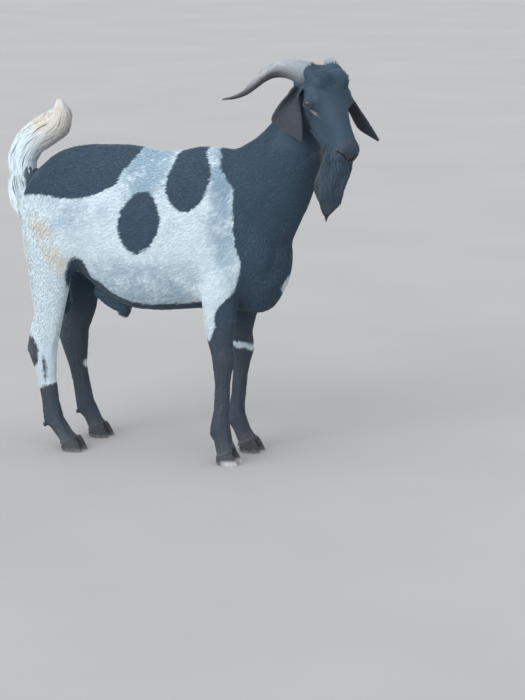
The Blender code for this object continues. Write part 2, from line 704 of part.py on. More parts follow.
def ear(side, skin):
    """A broad hanging leaf with its point at the leading edge, rolled to a stalk where it leaves the head."""
    s = SIDES[side]
    pose = EARS[side]
    hang = Vector(pose["along"]).normalized()
    edge = Vector(pose["edge"])
    edge = (edge - edge.dot(hang) * hang).normalized()
    face = hang.cross(edge).normalized() * -s  # out of the hollow side, to the front
    # part of the length, reach of the leading edge, reach of the trailing edge, how deep the leaf is cupped
    sections = [
        (-0.12, 0.30, 0.30, 1.30),
        (0.06, 0.34, 0.36, 1.20),
        (0.22, 0.56, 0.72, 0.80),
        (0.40, 0.76, 1.06, 0.45),
        (0.56, 0.86, 1.25, 0.32),
        (0.65, 0.90, 1.08, 0.25),
        (0.77, 0.94, 0.24, 0.18),
        (0.90, 0.98, -0.80, 0.08),
    ]
    columns = np.linspace(-1, 1, 7)
    bm = bmesh.new()
    grid = []
    for part, lead, trail, cup in through(sections, 2):
        stalk = 1 - math.exp(-3 * max(part + 0.12, 0) / 0.35)
        middle = Vector(pose["base"]) + Vector((0, s * EAR_STALK * stalk, 0)) + hang * (part * pose["length"])
        row = []
        for c in columns:
            across = EAR_HALF_WIDTH * (lead - (lead + trail) * (1 - c) / 2)
            hollow = cup * EAR_HALF_WIDTH * 0.55 * (c * c - 0.4)
            row.append(bm.verts.new(LEVEL_HEAD @ (middle + edge * across + face * hollow)))
        grid.append(row)
    for upper, lower in zip(grid, grid[1:]):
        for k in range(len(columns) - 1):
            bm.faces.new((upper[k], upper[k + 1], lower[k + 1], lower[k]))
    bmesh.ops.recalc_face_normals(bm, faces=bm.faces)
    obj = add_object(f"ear_{side}", mesh_of(f"ear_{side}", bm), GOAT, "coat_brown")
    thick = obj.modifiers.new("thick", "SOLIDIFY")
    thick.thickness = EAR_THICKNESS
    thick.offset = 0
    smooth_shaded(obj.data)
    add_boolean(obj, "DIFFERENCE", skin)


def beard(skin):
    # In the level head frame: forward, height from the eyes, half length fore and aft, half width
    sections = [
        (0.057, -0.106, 0.042, 0.020),
        (0.051, -0.131, 0.050, 0.030),
        (0.043, -0.156, 0.049, 0.033),
        (0.022, -0.186, 0.051, 0.035),
        (0.017, -0.212, 0.046, 0.031),
        (0.018, -0.234, 0.034, 0.022),
        (0.008, -0.251, 0.015, 0.012),
        (0.004, -0.266, 0.008, 0.008),
        (0.003, -0.284, 0.003, 0.003),
    ]
    rings = []
    for x, z, fore, half in through(sections, 2):
        ring = oval((x, 0, z), (0, 1, 0), (1, 0, 0), half, fore, fore, 2.0, 14)
        rings.append([LEVEL_HEAD @ p for p in ring])
    bm = bmesh.new()
    skin_rings(bm, rings)
    obj = add_object("beard", mesh_of("beard", bm), GOAT, "coat_black")
    smooth_shaded(obj.data)
    add_boolean(obj, "DIFFERENCE", skin)


# ---- The whole animal -------------------------------------------------------


def centre_on_floor():
    """Moves everything, so that the origin is under the middle of the bounding box."""
    graph = bpy.context.evaluated_depsgraph_get()
    corners = []
    for obj in GOAT.objects:
        seen = obj.evaluated_get(graph)
        corners += [seen.matrix_world @ Vector(c) for c in seen.bound_box]
    low = [min(c[k] for c in corners) for k in range(3)]
    high = [max(c[k] for c in corners) for k in range(3)]
    shift = Vector((-(low[0] + high[0]) / 2, -(low[1] + high[1]) / 2, -low[2]))
    for obj in [*GOAT.objects, *CUTTERS.objects]:
        obj.location += shift


clear_scene()
GOAT = collection("goat")
CUTTERS = collection("cutters", hidden=True)

whole_flesh = blended_flesh()
head_piece = parted_flesh(whole_flesh)
bpy.context.view_layer.update()
grown_flesh = surface_cutter("grown_flesh", whole_flesh, GAP)
eyes(head_piece)
for which in SIDES:
    horn(which, grown_flesh)
    ear(which, grown_flesh)
    for leg_name, foot in (("foreleg", "fore"), ("hindleg", "hind")):
        for place_name, way in (("inner", -SIDES[which]), ("outer", SIDES[which])):
            claw(f"hoof_{foot}_{which}_{place_name}", leg_name, which, way)
beard(grown_flesh)
bpy.context.view_layer.update()
centre_on_floor()
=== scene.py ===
import math
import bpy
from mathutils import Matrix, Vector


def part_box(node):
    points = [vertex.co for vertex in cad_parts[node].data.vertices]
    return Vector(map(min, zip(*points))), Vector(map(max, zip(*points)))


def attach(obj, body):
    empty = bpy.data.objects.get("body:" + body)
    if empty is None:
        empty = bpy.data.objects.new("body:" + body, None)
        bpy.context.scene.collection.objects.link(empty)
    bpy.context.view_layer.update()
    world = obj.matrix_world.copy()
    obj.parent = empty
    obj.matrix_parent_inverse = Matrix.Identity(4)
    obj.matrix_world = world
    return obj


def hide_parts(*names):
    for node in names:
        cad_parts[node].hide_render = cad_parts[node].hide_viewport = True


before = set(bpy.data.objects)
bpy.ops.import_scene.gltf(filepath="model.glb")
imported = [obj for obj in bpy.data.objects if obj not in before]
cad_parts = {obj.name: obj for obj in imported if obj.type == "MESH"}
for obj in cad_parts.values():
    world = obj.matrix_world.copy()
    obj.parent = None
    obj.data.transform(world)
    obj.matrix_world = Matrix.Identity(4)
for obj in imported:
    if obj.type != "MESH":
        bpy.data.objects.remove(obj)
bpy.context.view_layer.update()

from types import SimpleNamespace

import bmesh
import bpy
import numpy as np
from mathutils import Matrix, Vector
from mathutils.bvhtree import BVHTree
from mathutils.kdtree import KDTree

scene = bpy.context.scene
dice = np.random.default_rng(11)
sides = {"left": 1, "right": -1}


# Places on the goat. The head's frame lies between the eyes and points at the nose, and the level one
# only turns with the head. Body coordinates run forward, left and up from between the forelegs' soles.

stance = {"headTurn": -40, "headFall": 42, "head": (0.313, -0.070, 0.879), "fromEyes": (-0.003, 0, -0.002)}
eyeCentres = {side: sum(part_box(f"eye_{side}"), Vector()) / 2 for side in sides}
eyeMiddle = (eyeCentres["left"] + eyeCentres["right"]) / 2
headTurn = Matrix.Rotation(math.radians(stance["headTurn"]), 4, "Z")
headFall = Matrix.Rotation(math.radians(stance["headFall"]), 4, "Y")
headFrame = Matrix.Translation(eyeMiddle) @ headTurn @ headFall @ Matrix.Translation(stance["fromEyes"])
levelHead = Matrix.Translation(headFrame.translation) @ headTurn
goatOrigin = headFrame.translation - Vector(stance["head"])
origin = np.array(goatOrigin)


def placed(matrix, points):
    # points through a matrix, as an array
    m = np.array(matrix)
    return np.asarray(points, float) @ m[:3, :3].T + m[:3, 3]


def unit(vectors):
    return vectors / np.maximum(np.linalg.norm(vectors, axis=-1, keepdims=True), 1e-12)


def ramp(value, low, high):
    # 0 below low, 1 above high, and a smooth step between
    t = np.clip((value - low) / (high - low), 0, 1)
    return t * t * (3 - 2 * t)


def kindOf(name):
    return name.split("_")[0]


def lineDistance(points, line):
    # Distance from each point to a line of straight runs
    near = np.full(len(points), 1e9)
    for a, b in zip(line, line[1:]):
        t = np.clip(((points - a) @ (b - a)) / ((b - a) @ (b - a)), 0, 1)
        near = np.minimum(near, np.linalg.norm(points - a - t[:, None] * (b - a), axis=1))
    return near


def alongRows(rows, t):
    # A place on rows of numbers at t from 0 to 1, by straight steps
    rows = np.asarray(rows)
    at = np.clip(t, 0, 1) * (len(rows) - 1)
    return np.stack([np.interp(at, np.arange(len(rows)), rows[:, k]) for k in range(rows.shape[1])], -1)


def swelling(points, centre, radii, start=(0, 0, 0)):
    # 1 at the middle of a rounded form, whose centre is counted from start, and less away from it
    return np.exp(-(((points - np.array(centre) - start) / np.array(radii)) ** 2).sum(1))


# Camera and light

view = {"place": (2.1707, -5.3241, 1.4818), "turn": 21, "fall": 12, "lens": 125.3}


def makeCamera():
    camera = bpy.data.objects.new("camera", bpy.data.cameras.new("camera"))
    scene.collection.objects.link(camera)
    camera.location = goatOrigin + Vector(view["place"])
    turn, fall = math.radians(view["turn"]), math.radians(view["fall"])
    ahead = Vector((-math.sin(turn) * math.cos(fall), math.cos(turn) * math.cos(fall), -math.sin(fall)))
    camera.rotation_mode = "QUATERNION"
    camera.rotation_quaternion = ahead.to_track_quat("-Z", "Y")
    camera.data.lens = view["lens"]
    camera.data.sensor_width = 36
    camera.data.clip_end = 200
    scene.camera = camera


studio = {
    "sky": (0.88, 0.94, 1.0), "skyStrength": 1.0,
    "sun": dict(toward=(0.25, 0.38, -0.88), strength=0.35, spread=55, colour=(1.0, 0.99, 0.97)),
    "fill": dict(toward=(0.30, 0.85, -0.44), strength=1.75, spread=45, colour=(0.95, 0.98, 1.0)),
}


def makeLight():
    scene.view_settings.view_transform = "Standard"
    world = bpy.data.worlds.new("softSky")
    scene.world = world
    world.use_nodes = True
    world.node_tree.nodes["Background"].inputs["Color"].default_value = (*studio["sky"], 1)
    world.node_tree.nodes["Background"].inputs["Strength"].default_value = studio["skyStrength"]
    for name in ("sun", "fill"):
        lamp = studio[name]
        data = bpy.data.lights.new(name, "SUN")
        data.energy = lamp["strength"]
        data.angle = math.radians(lamp["spread"])  # a wide disk, so the shadows are soft
        data.color = lamp["colour"]
        light = bpy.data.objects.new(name, data)
        scene.collection.objects.link(light)
        light.rotation_mode = "QUATERNION"
        light.rotation_quaternion = Vector(lamp["toward"]).to_track_quat("-Z", "Y")


makeCamera()
makeLight()

# Node helpers


class Graph:
    # Adds nodes to a material or a group and links them as they are made.
    def __init__(self, tree):
        self.tree = tree

    def node(self, kind, settings=None, **inputs):
        made = self.tree.nodes.new(kind)
        for key, value in (settings or {}).items():
            setattr(made, key, value)
        for key, value in inputs.items():
            self.feed(made, key.replace("_", " "), value)
        return made

    def feed(self, made, socket, value):
        # a socket goes by its name, or by n and its number
        numbered = socket[:1] == "n" and socket[1:].isdigit()
        target = made.inputs[int(socket[1:]) if numbered else socket]
        if isinstance(value, bpy.types.NodeSocket):
            self.tree.links.new(value, target)
        else:
            target.default_value = value

    def math(self, operation, first, second=0.0, third=0.0, clamp=False):
        settings = {"operation": operation, "use_clamp": clamp}
        return self.node("ShaderNodeMath", settings, n0=first, n1=second, n2=third).outputs[0]

    def times(self, first, second, clamp=False):
        return self.math("MULTIPLY", first, second, clamp=clamp)

    def timesPlus(self, first, second, third):
        return self.math("MULTIPLY_ADD", first, second, third)

    def vector(self, operation, **inputs):
        return self.node("ShaderNodeVectorMath", {"operation": operation}, **inputs).outputs

    def parts(self, vector):
        return self.node("ShaderNodeSeparateXYZ", None, Vector=vector).outputs

    def joined(self, x, y, z):
        return self.node("ShaderNodeCombineXYZ", None, X=x, Y=y, Z=z).outputs[0]

    def noise(self, place, scale, detail=2.0, roughness=0.5):
        inputs = {"Vector": place, "Scale": scale, "Detail": detail, "Roughness": roughness}
        return self.node("ShaderNodeTexNoise", None, **inputs).outputs["Fac"]

    def step(self, value, low, high, to=(0.0, 1.0)):
        settings = {"interpolation_type": "SMOOTHSTEP"}
        inputs = {"Value": value, "From_Min": low, "From_Max": high, "To_Min": to[0], "To_Max": to[1]}
        return self.node("ShaderNodeMapRange", settings, **inputs).outputs[0]

    def mix(self, factor, first, second, blend="MIX"):
        made = self.node("ShaderNodeMix", {"data_type": "RGBA", "blend_type": blend})
        self.feed(made, "n0", factor)
        self.feed(made, "n6", first)
        self.feed(made, "n7", second)
        return made.outputs[2]

    def attribute(self, name, output="Fac"):
        return self.node("ShaderNodeAttribute", {"attribute_name": name}).outputs[output]

    def group(self, tree, **inputs):
        return self.node("ShaderNodeGroup", {"node_tree": tree}, **inputs)

    def objectPlace(self):
        return self.node("ShaderNodeTexCoord").outputs["Object"]

    def bump(self, shader, height, strength, distance):
        made = self.node("ShaderNodeBump", None, Strength=strength, Distance=distance, Height=height)
        self.feed(shader, "Normal", made.outputs[0])


def newGroup(name, inputs, outputs):
    # inputs and outputs are (name, kind, default); returns the graph, the input node and the output node
    tree = bpy.data.node_groups.new(name, "ShaderNodeTree")
    for way, rows in (("INPUT", inputs), ("OUTPUT", outputs)):
        for label, kind, start in rows:
            socket = tree.interface.new_socket(label, in_out=way, socket_type=f"NodeSocket{kind}")
            if start is not None:
                socket.default_value = start
    graph = Graph(tree)
    return graph, graph.node("NodeGroupInput"), graph.node("NodeGroupOutput")


def newMaterial(name, **constants):
    material = bpy.data.materials.new(name)
    material.use_nodes = True
    graph = Graph(material.node_tree)
    shader = material.node_tree.nodes["Principled BSDF"]
    for key, value in constants.items():
        shader.inputs[key.replace("_", " ")].default_value = value
    return material, graph, shader


# Coat colours: one group for the skin, the tufts and the locks

# The black hair is lifted and tinted blue: painted sky sheen over its own near-black
coatColours = {
    "Black Hair": (0.040, 0.073, 0.108, 1), "White Hair": (0.70, 0.81, 0.87, 1),
    "Grey Hair": (0.30, 0.42, 0.52, 1), "Tan Hair": (0.66, 0.58, 0.48, 1),
    "Brown Hair": (0.070, 0.076, 0.092, 1), "Dust": (0.30, 0.25, 0.22, 1),
}


coatFloats = {
    "Patch": 0.0, "Ticking": 0.0, "Tan": 0.0, "Brown": 0.0, "Strand": 0.5, "Along": 0.5, "Height": 0.5,
}
coatPattern = {
    # How the black's edge wanders: scale, detail and how far
    "wander": [(55, 3, 0.008), (260, 2, 0.005)],
    "strandWander": 0.0035, "softEdge": 0.0022,
    "clouds": 24, "flecks": 95, "ticked": (0.91, 1.19),
    "dustTop": 0.10, "dust": (0.12, 0.5),  # share of the height, and how much at least and at most
    "tone": (0.09, 0.945), "rootToTip": (0.93, 1.03), "roughness": (0.52, 0.66),
}


def coatGroup():
    inputs = [("Place", "Vector", None)]
    inputs += [(label, "Float", start) for label, start in coatFloats.items()]
    inputs += [(label, "Color", colour) for label, colour in coatColours.items()]
    g, come, go = newGroup("coatMarkings", inputs, [("Colour", "Color", None), ("Roughness", "Float", None)])
    put = come.outputs
    place, strand, tan = put["Place"], put["Strand"], put["Tan"]
    edge = put["Patch"]
    for scale, detail, wander in coatPattern["wander"]:
        edge = g.timesPlus(g.math("SUBTRACT", g.noise(place, scale, detail), 0.5), wander, edge)
    edge = g.timesPlus(g.math("SUBTRACT", strand, 0.5), coatPattern["strandWander"], edge)
    black = g.step(edge, -coatPattern["softEdge"], coatPattern["softEdge"])
    # White hair, ticked with grey and washed with tan; the grey low on the belly is painted shade
    clouds = g.noise(place, coatPattern["clouds"], 4, 0.6)
    flecks = g.timesPlus(g.noise(place, coatPattern["flecks"], 3, 0.6), 0.85, g.times(strand, 0.15))
    ticks = g.timesPlus(put["Ticking"], 0.28, g.timesPlus(clouds, 0.9, flecks))
    grey = g.times(g.step(ticks, *coatPattern["ticked"]), put["Ticking"], clamp=True)
    white = g.mix(g.times(g.step(clouds, 0.42, 0.75), 0.10), put["White Hair"], put["Grey Hair"])
    white = g.mix(grey, white, put["Grey Hair"])
    white = g.mix(g.times(tan, g.step(clouds, 0.2, 0.62), clamp=True), white, put["Tan Hair"])
    # Black hair, browned and flecked a little
    dark = g.mix(put["Brown"], put["Black Hair"], put["Brown Hair"])
    dark = g.mix(g.times(g.step(flecks, 0.58, 0.80), 0.10), dark, put["Grey Hair"])
    dark = g.mix(g.times(tan, 0.42), dark, put["Tan Hair"])
    coat = g.mix(black, white, dark)
    dusty = g.step(put["Height"], coatPattern["dustTop"], 0.0)
    coat = g.mix(g.times(dusty, g.step(clouds, 0.3, 0.7, coatPattern["dust"])), coat, put["Dust"])
    # Each hair has its own tone, and is darker at its root and paler toward its tip: painted shade deep in
    # the coat
    tone = g.timesPlus(strand, *coatPattern["tone"])
    tone = g.times(tone, g.step(put["Along"], 0.0, 0.75, coatPattern["rootToTip"]))
    shade = g.node("ShaderNodeCombineColor", None, Red=tone, Green=tone, Blue=tone).outputs[0]
    g.feed(go, "Colour", g.mix(1.0, coat, shade, "MULTIPLY"))
    g.feed(go, "Roughness", g.step(clouds, 0.2, 0.8, coatPattern["roughness"]))
    return g.tree


def furBumpGroup():
    # Noise drawn out along the way the hair lies
    inputs = [("Place", "Vector", None), ("Lie", "Vector", None), ("Scale", "Float", 900.0)]
    g, come, go = newGroup("furBump", inputs, [("Height", "Float", None)])
    place, lie = come.outputs["Place"], come.outputs["Lie"]
    along = g.vector("DOT_PRODUCT", n0=place, n1=lie)["Value"]
    drawn = g.vector("SCALE", n0=lie, Scale=g.times(along, -0.82))[0]
    spot = g.vector("ADD", n0=place, n1=drawn)[0]
    hair = g.noise(spot, come.outputs["Scale"], 3, 0.6)
    g.feed(go, "Height", g.timesPlus(g.noise(spot, 260, 2), 0.6, hair))
    return g.tree


coatNodes = coatGroup()
furNodes = furBumpGroup()
tallest = 0.75  # the height that the dust on the legs is a share of


def feedCoat(g, shader):
    # The shared markings, read from the attributes that every coat piece carries
    place = g.attribute("rootPlace", "Vector")
    height = g.math("DIVIDE", g.parts(place)["Z"], tallest)
    marks = {label: g.attribute(label.lower()) for label in coatFloats if label != "Height"}
    made = g.group(coatNodes, Place=place, Height=height, **marks)
    g.feed(shader, "Roughness", made.outputs["Roughness"])
    return made.outputs["Colour"]


def coatMaterial():
    finish = {"Sheen_Weight": 0.12, "Sheen_Roughness": 0.4, "Specular_IOR_Level": 0.28}
    material, g, shader = newMaterial("coatHair", **finish)
    g.feed(shader, "Base Color", feedCoat(g, shader))
    return material


def skinMaterial():
    # Fur like the tufts' over most of it, and bare dark skin at the nose, lips and lids
    finish = {"Sheen_Weight": 0.2, "Sheen_Roughness": 0.4, "Specular_IOR_Level": 0.35}
    material, g, shader = newMaterial("skinUnderCoat", **finish)
    colour = feedCoat(g, shader)
    place = g.attribute("rootPlace", "Vector")
    bare = g.attribute("bare")
    pores = g.noise(place, 1400, 3, 0.6)
    hide = g.mix(g.step(pores, 0.3, 0.7), (0.018, 0.018, 0.021, 1), (0.045, 0.040, 0.042, 1))
    g.feed(shader, "Base Color", g.mix(bare, colour, hide))
    fur = g.group(furNodes, Place=place, Lie=g.attribute("lie", "Vector"), Scale=900.0)
    g.bump(shader, g.mix(bare, fur.outputs["Height"], pores), 0.55, 0.0011)
    return material


# Markings: signed distances in metres, positive inside the black

# Outlines of the black patches on the barrel, in body coordinates: forward, left and up.
markingOutlines = {
    "rumpRight": [
        (-0.465, -0.075, 0.621), (-0.438, -0.089, 0.632), (-0.401, -0.097, 0.632), (-0.333, -0.102, 0.623),
        (-0.253, -0.112, 0.641), (-0.202, -0.108, 0.669), (-0.195, -0.096, 0.690), (-0.169, -0.056, 0.726),
        (-0.172, -0.020, 0.746),
    ],
    "rumpLeft": [
        (-0.180, 0.020, 0.748), (-0.186, 0.052, 0.730), (-0.214, 0.088, 0.704), (-0.246, 0.110, 0.662),
        (-0.300, 0.116, 0.612), (-0.352, 0.108, 0.596), (-0.410, 0.096, 0.622), (-0.452, 0.076, 0.634),
        (-0.474, 0.030, 0.655), (-0.480, -0.029, 0.655),
    ],
    "saddle": [
        (-0.066, 0.030, 0.744), (-0.073, -0.034, 0.738), (-0.070, -0.068, 0.714), (-0.080, -0.092, 0.684),
        (-0.071, -0.110, 0.643), (-0.051, -0.113, 0.619), (-0.030, -0.111, 0.604), (0.008, -0.100, 0.626),
        (0.028, -0.092, 0.671), (0.026, -0.065, 0.714), (-0.002, -0.030, 0.750), (-0.004, 0.026, 0.748),
        (0.012, 0.068, 0.712), (0.020, 0.100, 0.660), (0.004, 0.108, 0.606), (-0.034, 0.116, 0.572),
        (-0.072, 0.118, 0.590), (-0.090, 0.110, 0.640), (-0.084, 0.084, 0.694),
    ],
    "flankRight": [
        (-0.133, -0.118, 0.662), (-0.106, -0.118, 0.653), (-0.079, -0.123, 0.600), (-0.088, -0.125, 0.552),
        (-0.124, -0.126, 0.510), (-0.158, -0.126, 0.510), (-0.190, -0.124, 0.551), (-0.187, -0.122, 0.598),
        (-0.165, -0.120, 0.633),
    ],
    "flankLeft": [
        (-0.168, 0.118, 0.600), (-0.142, 0.124, 0.566), (-0.150, 0.124, 0.520), (-0.184, 0.122, 0.486),
        (-0.226, 0.120, 0.494), (-0.240, 0.122, 0.540), (-0.222, 0.120, 0.590), (-0.192, 0.118, 0.612),
    ],
}
frontEdge = [  # height, and how far forward the white reaches there
    (0.290, 0.020), (0.303, 0.028), (0.325, 0.043), (0.349, 0.043), (0.373, 0.048), (0.398, 0.061),
    (0.413, 0.080), (0.428, 0.088), (0.448, 0.095), (0.477, 0.103), (0.495, 0.104), (0.546, 0.086),
    (0.591, 0.086), (0.632, 0.082), (0.666, 0.083), (0.703, 0.050), (0.736, 0.039), (0.760, 0.015)]
bellyEdge = [  # how far forward, and the height under which the belly is black
    (-0.34, 0.442), (-0.300, 0.436), (-0.259, 0.423), (-0.239, 0.405), (-0.215, 0.393), (-0.176, 0.380),
    (-0.129, 0.376), (-0.059, 0.382), (0.008, 0.392), (0.060, 0.41)]
# Forward and up along the tan streak on the thigh
tanLine = np.array([(-0.415, 0.569), (-0.388, 0.536), (-0.375, 0.500), (-0.351, 0.472)])
barrel = {"middle": 0.600, "radius": 0.135}  # for distances round it
markSpots = {  # centre and radii
    "groin": ((-0.345, 0, 0.39), (0.075, 0.070, 0.075)),
    "hock": ((-0.445, -0.075, 0.243), (0.0345, 0.06, 0.044)),
    "fold": ((-0.316, -0.085, 0.424), (0.030, 0.060, 0.062)),  # where the flank meets the near thigh
    "cannonStreak": ((-0.403, -0.095, 0.206), (0.0030, 0.030, 0.026)),
    "farThigh": ((-0.345, 0.10, 0.50), (0.045, 0.06, 0.05)),
    "farCannon": ((-0.372, 0.080, 0.185), (0.012, 0.018, 0.010)),  # white
    "tailRoot": ((-0.466, -0.030, 0.663), (0.024, 0.030, 0.024)),
    "brisket": ((0.186, 0.020, 0.437), (0.040, 0.036, 0.027)),  # white
}
greyAndShadeZones = [  # how grey, centre, radii, and the distances between which it fades in
    # The first zone, low on the belly, is painted shade laid on as grey ticking
    (0.58, (-0.135, 0, 0.43), (0.16, 0.2, 0.085), (-0.03, 0.03)),
    (0.75, (0.066, 0, 0.59), (0.034, 0.2, 0.15), (-0.022, 0.018)),
    (0.25, (-0.20, 0, 0.60), (0.16, 0.2, 0.06), (-0.03, 0.03)),
    (0.30, (-0.35, 0, 0.585), (0.08, 0.2, 0.045), (-0.03, 0.02)),
    (0.85, (-0.13, 0, 0.70), (0.06, 0.2, 0.07), (-0.03, 0.02)),
    (0.65, (0.045, 0, 0.72), (0.05, 0.2, 0.06), (-0.03, 0.02)),
]
greyCannon = (0.90, (-0.403, -0.09, 0.207), (0.007, 0.06, 0.026), (-0.004, 0.002))
paintedLightUnderEye = {"centre": (0.0234, 0.044, -0.0101), "radii": (0.012, 0.018, 0.0065)}  # painted light: a pale patch at the inner corner of each eye


def unrolled(p):
    # Distance forward and distance round the barrel from the spine, minus to the right
    girth = np.arctan2(p[:, 1], p[:, 2] - barrel["middle"]) * barrel["radius"]
    return np.stack([p[:, 0], girth], 1)


def insideBy(points, outline):
    # Signed distance to a closed outline, positive inside
    outline = np.asarray(outline)
    near = np.full(len(points), 1e9)
    inside = np.zeros(len(points), bool)
    for a, b in zip(outline, np.roll(outline, -1, 0)):
        edge = b - a
        t = np.clip(((points - a) @ edge) / (edge @ edge), 0, 1)
        near = np.minimum(near, np.linalg.norm(points - a - t[:, None] * edge, axis=1))
        crosses = (a[1] > points[:, 1]) != (b[1] > points[:, 1])
        at = a[0] + (points[:, 1] - a[1]) / (b[1] - a[1] if b[1] != a[1] else 1e-9) * edge[0]
        inside ^= crosses & (points[:, 0] < at)
    return np.where(inside, near, -near)


def ball(p, centre, radii):
    # Signed distance, near enough, to an ellipsoid, positive inside
    q = (p - np.array(centre)) / np.array(radii)
    return (1 - np.linalg.norm(q, axis=1)) * min(radii)


def roundedOutline(points):
    # Cuts the corners twice
    points = np.asarray(points)
    for _ in range(2):
        after = np.roll(points, -1, 0)
        pairs = np.stack([points * 0.75 + after * 0.25, points * 0.25 + after * 0.75], 1)
        points = pairs.reshape(-1, points.shape[1])
    return points


def trunkMarks(p, patch, trunkLike, foreLeg):
    x, y, z = p.T
    flat = unrolled(p)
    outlines = [markingOutlines["rumpRight"] + markingOutlines["rumpLeft"], markingOutlines["saddle"],
                markingOutlines["flankRight"], markingOutlines["flankLeft"]]
    for outline in outlines:
        patch = np.maximum(patch, insideBy(flat, roundedOutline(unrolled(np.array(outline)))))
    heights, reach = np.array(frontEdge).T
    leftReach = 0.016 * np.sin((z - 0.32) * 21) + 0.004
    ahead = x - np.interp(z, heights, reach) - np.where(y > 0, leftReach, 0) * ramp(z, 0.74, 0.66)
    patch = np.maximum(patch, np.where(trunkLike | foreLeg, ahead, -1.0))
    # The white wedge runs down the rear of each foreleg's outside, and the leg is black below it
    patch = np.where(foreLeg, np.maximum(patch, 0.303 + 0.7 * np.abs(x - 0.028) - z), patch)
    patch = np.where(foreLeg, np.maximum(patch, np.where(y > 0, 0.078, 0.058) - np.abs(y)), patch)
    belly = np.interp(x, *np.array(bellyEdge).T) - z
    belly = np.minimum(belly, 0.106 - np.abs(y) - 0.6 * np.clip(x + 0.04, 0, 0.06))
    patch = np.maximum(patch, np.where(trunkLike & (x < 0.09), belly, -1.0))
    return np.maximum(patch, np.where(trunkLike, ball(p, *markSpots["groin"]), -1.0))


def hindLegMarks(p):
    x, y, z = p.T
    inner = 0.046 - np.abs(y) + 0.1 * np.clip(z - 0.30, 0, 0.2) - 1.2 * np.clip(z - 0.40, 0, 1)
    nearLeg = np.maximum(0.153 - z + 0.375 * (x + 0.422), ball(p, *markSpots["hock"]))
    nearLeg = np.maximum(nearLeg, np.where(z > 0.17, np.minimum(inner, 0.43 - z), -1))
    nearLeg = np.maximum(nearLeg, ball(p, *markSpots["fold"]))
    nearLeg = np.maximum(nearLeg, ball(p, *markSpots["cannonStreak"]))
    slanted = np.minimum(np.minimum(0.078 - y, 0.478 - z), x + 0.410 + 0.3 * (0.44 - z))
    farLeg = np.maximum(0.405 - z + 0.4 * (x + 0.38), np.maximum(inner, slanted))
    farLeg = np.maximum(farLeg, ball(p, *markSpots["farThigh"]))
    farLeg = np.minimum(farLeg, -ball(p, *markSpots["farCannon"]))
    return np.where(y < 0, nearLeg, farLeg)


def markings(world, node):
    # patch, ticking, tan and brown for points in the model's frame, each with the name of its CAD node
    p = world - origin
    x, z = p[:, 0], p[:, 2]
    kinds = np.array([kindOf(n) for n in node])
    trunkLike = np.isin(kinds, ["trunk", "neck", "head", "ear", "eye"])
    foreLeg = np.isin(kinds, ["forearm", "forefoot"])
    hind = np.isin(kinds, ["thigh", "hindfoot"])
    patch = trunkMarks(p, np.full(len(p), -1.0), trunkLike, foreLeg)
    patch = np.where(trunkLike, np.maximum(patch, ball(p, *markSpots["fold"])), patch)
    patch = np.where(hind, np.maximum(patch, hindLegMarks(p)), patch)
    bandHeight = np.interp(x, (0.050, 0.062, 0.080), (0.268, 0.266, 0.257))
    band = np.minimum(0.0070 - np.abs(z - bandHeight), x - 0.028)  # white, on the far knee
    patch = np.where(np.isin(node, ["forearm_left", "forefoot_left"]), np.minimum(patch, -band), patch)
    tailSpot = ball(p, *markSpots["tailRoot"])
    patch = np.where(trunkLike & (x < -0.40), np.maximum(patch, tailSpot), patch)
    patch = np.where(node == "tail", tailSpot, patch)
    patch = np.where(trunkLike, np.minimum(patch, -ball(p, *markSpots["brisket"])), patch)

    ticking = np.full(len(p), 0.10)
    # Grey ticking, and painted shade low on the belly
    for grey, centre, radii, fade in greyAndShadeZones:
        ticking += grey * ramp(ball(p, centre, radii), *fade)
    grey, centre, radii, fade = greyCannon
    ticking += grey * np.where(hind, ramp(ball(p, centre, radii), *fade), 0)
    ticking = np.where(node == "tail", 0.1, ticking)
    tan = 0.85 * ramp(lineDistance(p[:, [0, 2]], tanLine), 0.034, 0.004) * ramp(patch, 0.003, -0.003)
    tan += 0.95 * np.where(node == "tail", ramp(z, 0.77, 0.81), 0)
    tan += 0.30 * np.where(hind, ramp(x, -0.42, -0.46), 0)
    brown = np.where(kinds == "ear", 0.85, 0.0)
    brown = np.where(foreLeg | hind, 0.6 * ramp(z, 0.40, 0.28), brown)
    h = placed(headFrame.inverted(), world)
    brown = np.maximum(brown, np.where(node == "head", 0.35 * ramp(h[:, 0], 0.112, 0.135), 0))
    # A painted patch of light under each eye, laid on as tan
    for s in sides.values():
        under = (h - np.array(paintedLightUnderEye["centre"]) * (1, s, 1)) / paintedLightUnderEye["radii"]
        tan += np.where(np.isin(kinds, ["head", "eye"]), ramp(np.linalg.norm(under, axis=1), 1.3, 0.6), 0)
    return patch, np.clip(ticking, 0, 1), np.clip(tan, 0, 1), np.clip(brown, 0, 1)


# Skin

skinSettings = {
    "voxel": 0.0021, "bodyTriangles": 78000, "headFrom": -0.11,  # the head keeps its full mesh ahead of this
    # How far the skin lies under the coat's tips, and how much the facets are smoothed away
    "depth": {"trunk": 0.0034, "neck": 0.0034, "thigh": 0.0027, "forearm": 0.0021, "forefoot": 0.0015,
              "hindfoot": 0.0015, "head": 0.0013, "ear": 0.0006, "eye": 0.0010, "tail": 0.004},
    "smooth": {"trunk": 1.0, "neck": 0.85, "thigh": 0.42, "forearm": 0.22, "forefoot": 0.10, "hindfoot": 0.10,
               "head": 0.13, "ear": 0.05, "eye": 0.13, "tail": 0.3},
    "rounds": 90, "tailDrawnIn": 0.42,
}


fleshNames = sorted(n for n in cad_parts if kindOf(n) in skinSettings["depth"])
# The middle of the tail, from root to tip, and of its flesh under the hair: forward and up
tailLine = np.array([(-0.440, 0.640), (-0.478, 0.646), (-0.502, 0.668), (-0.502, 0.705), (-0.480, 0.743),
                     (-0.442, 0.770), (-0.407, 0.791), (-0.393, 0.820), (-0.400, 0.850)])
tailCore = np.concatenate([[(-0.500, 0.700), (-0.504, 0.662), (-0.505, 0.628)], tailLine[3:]])


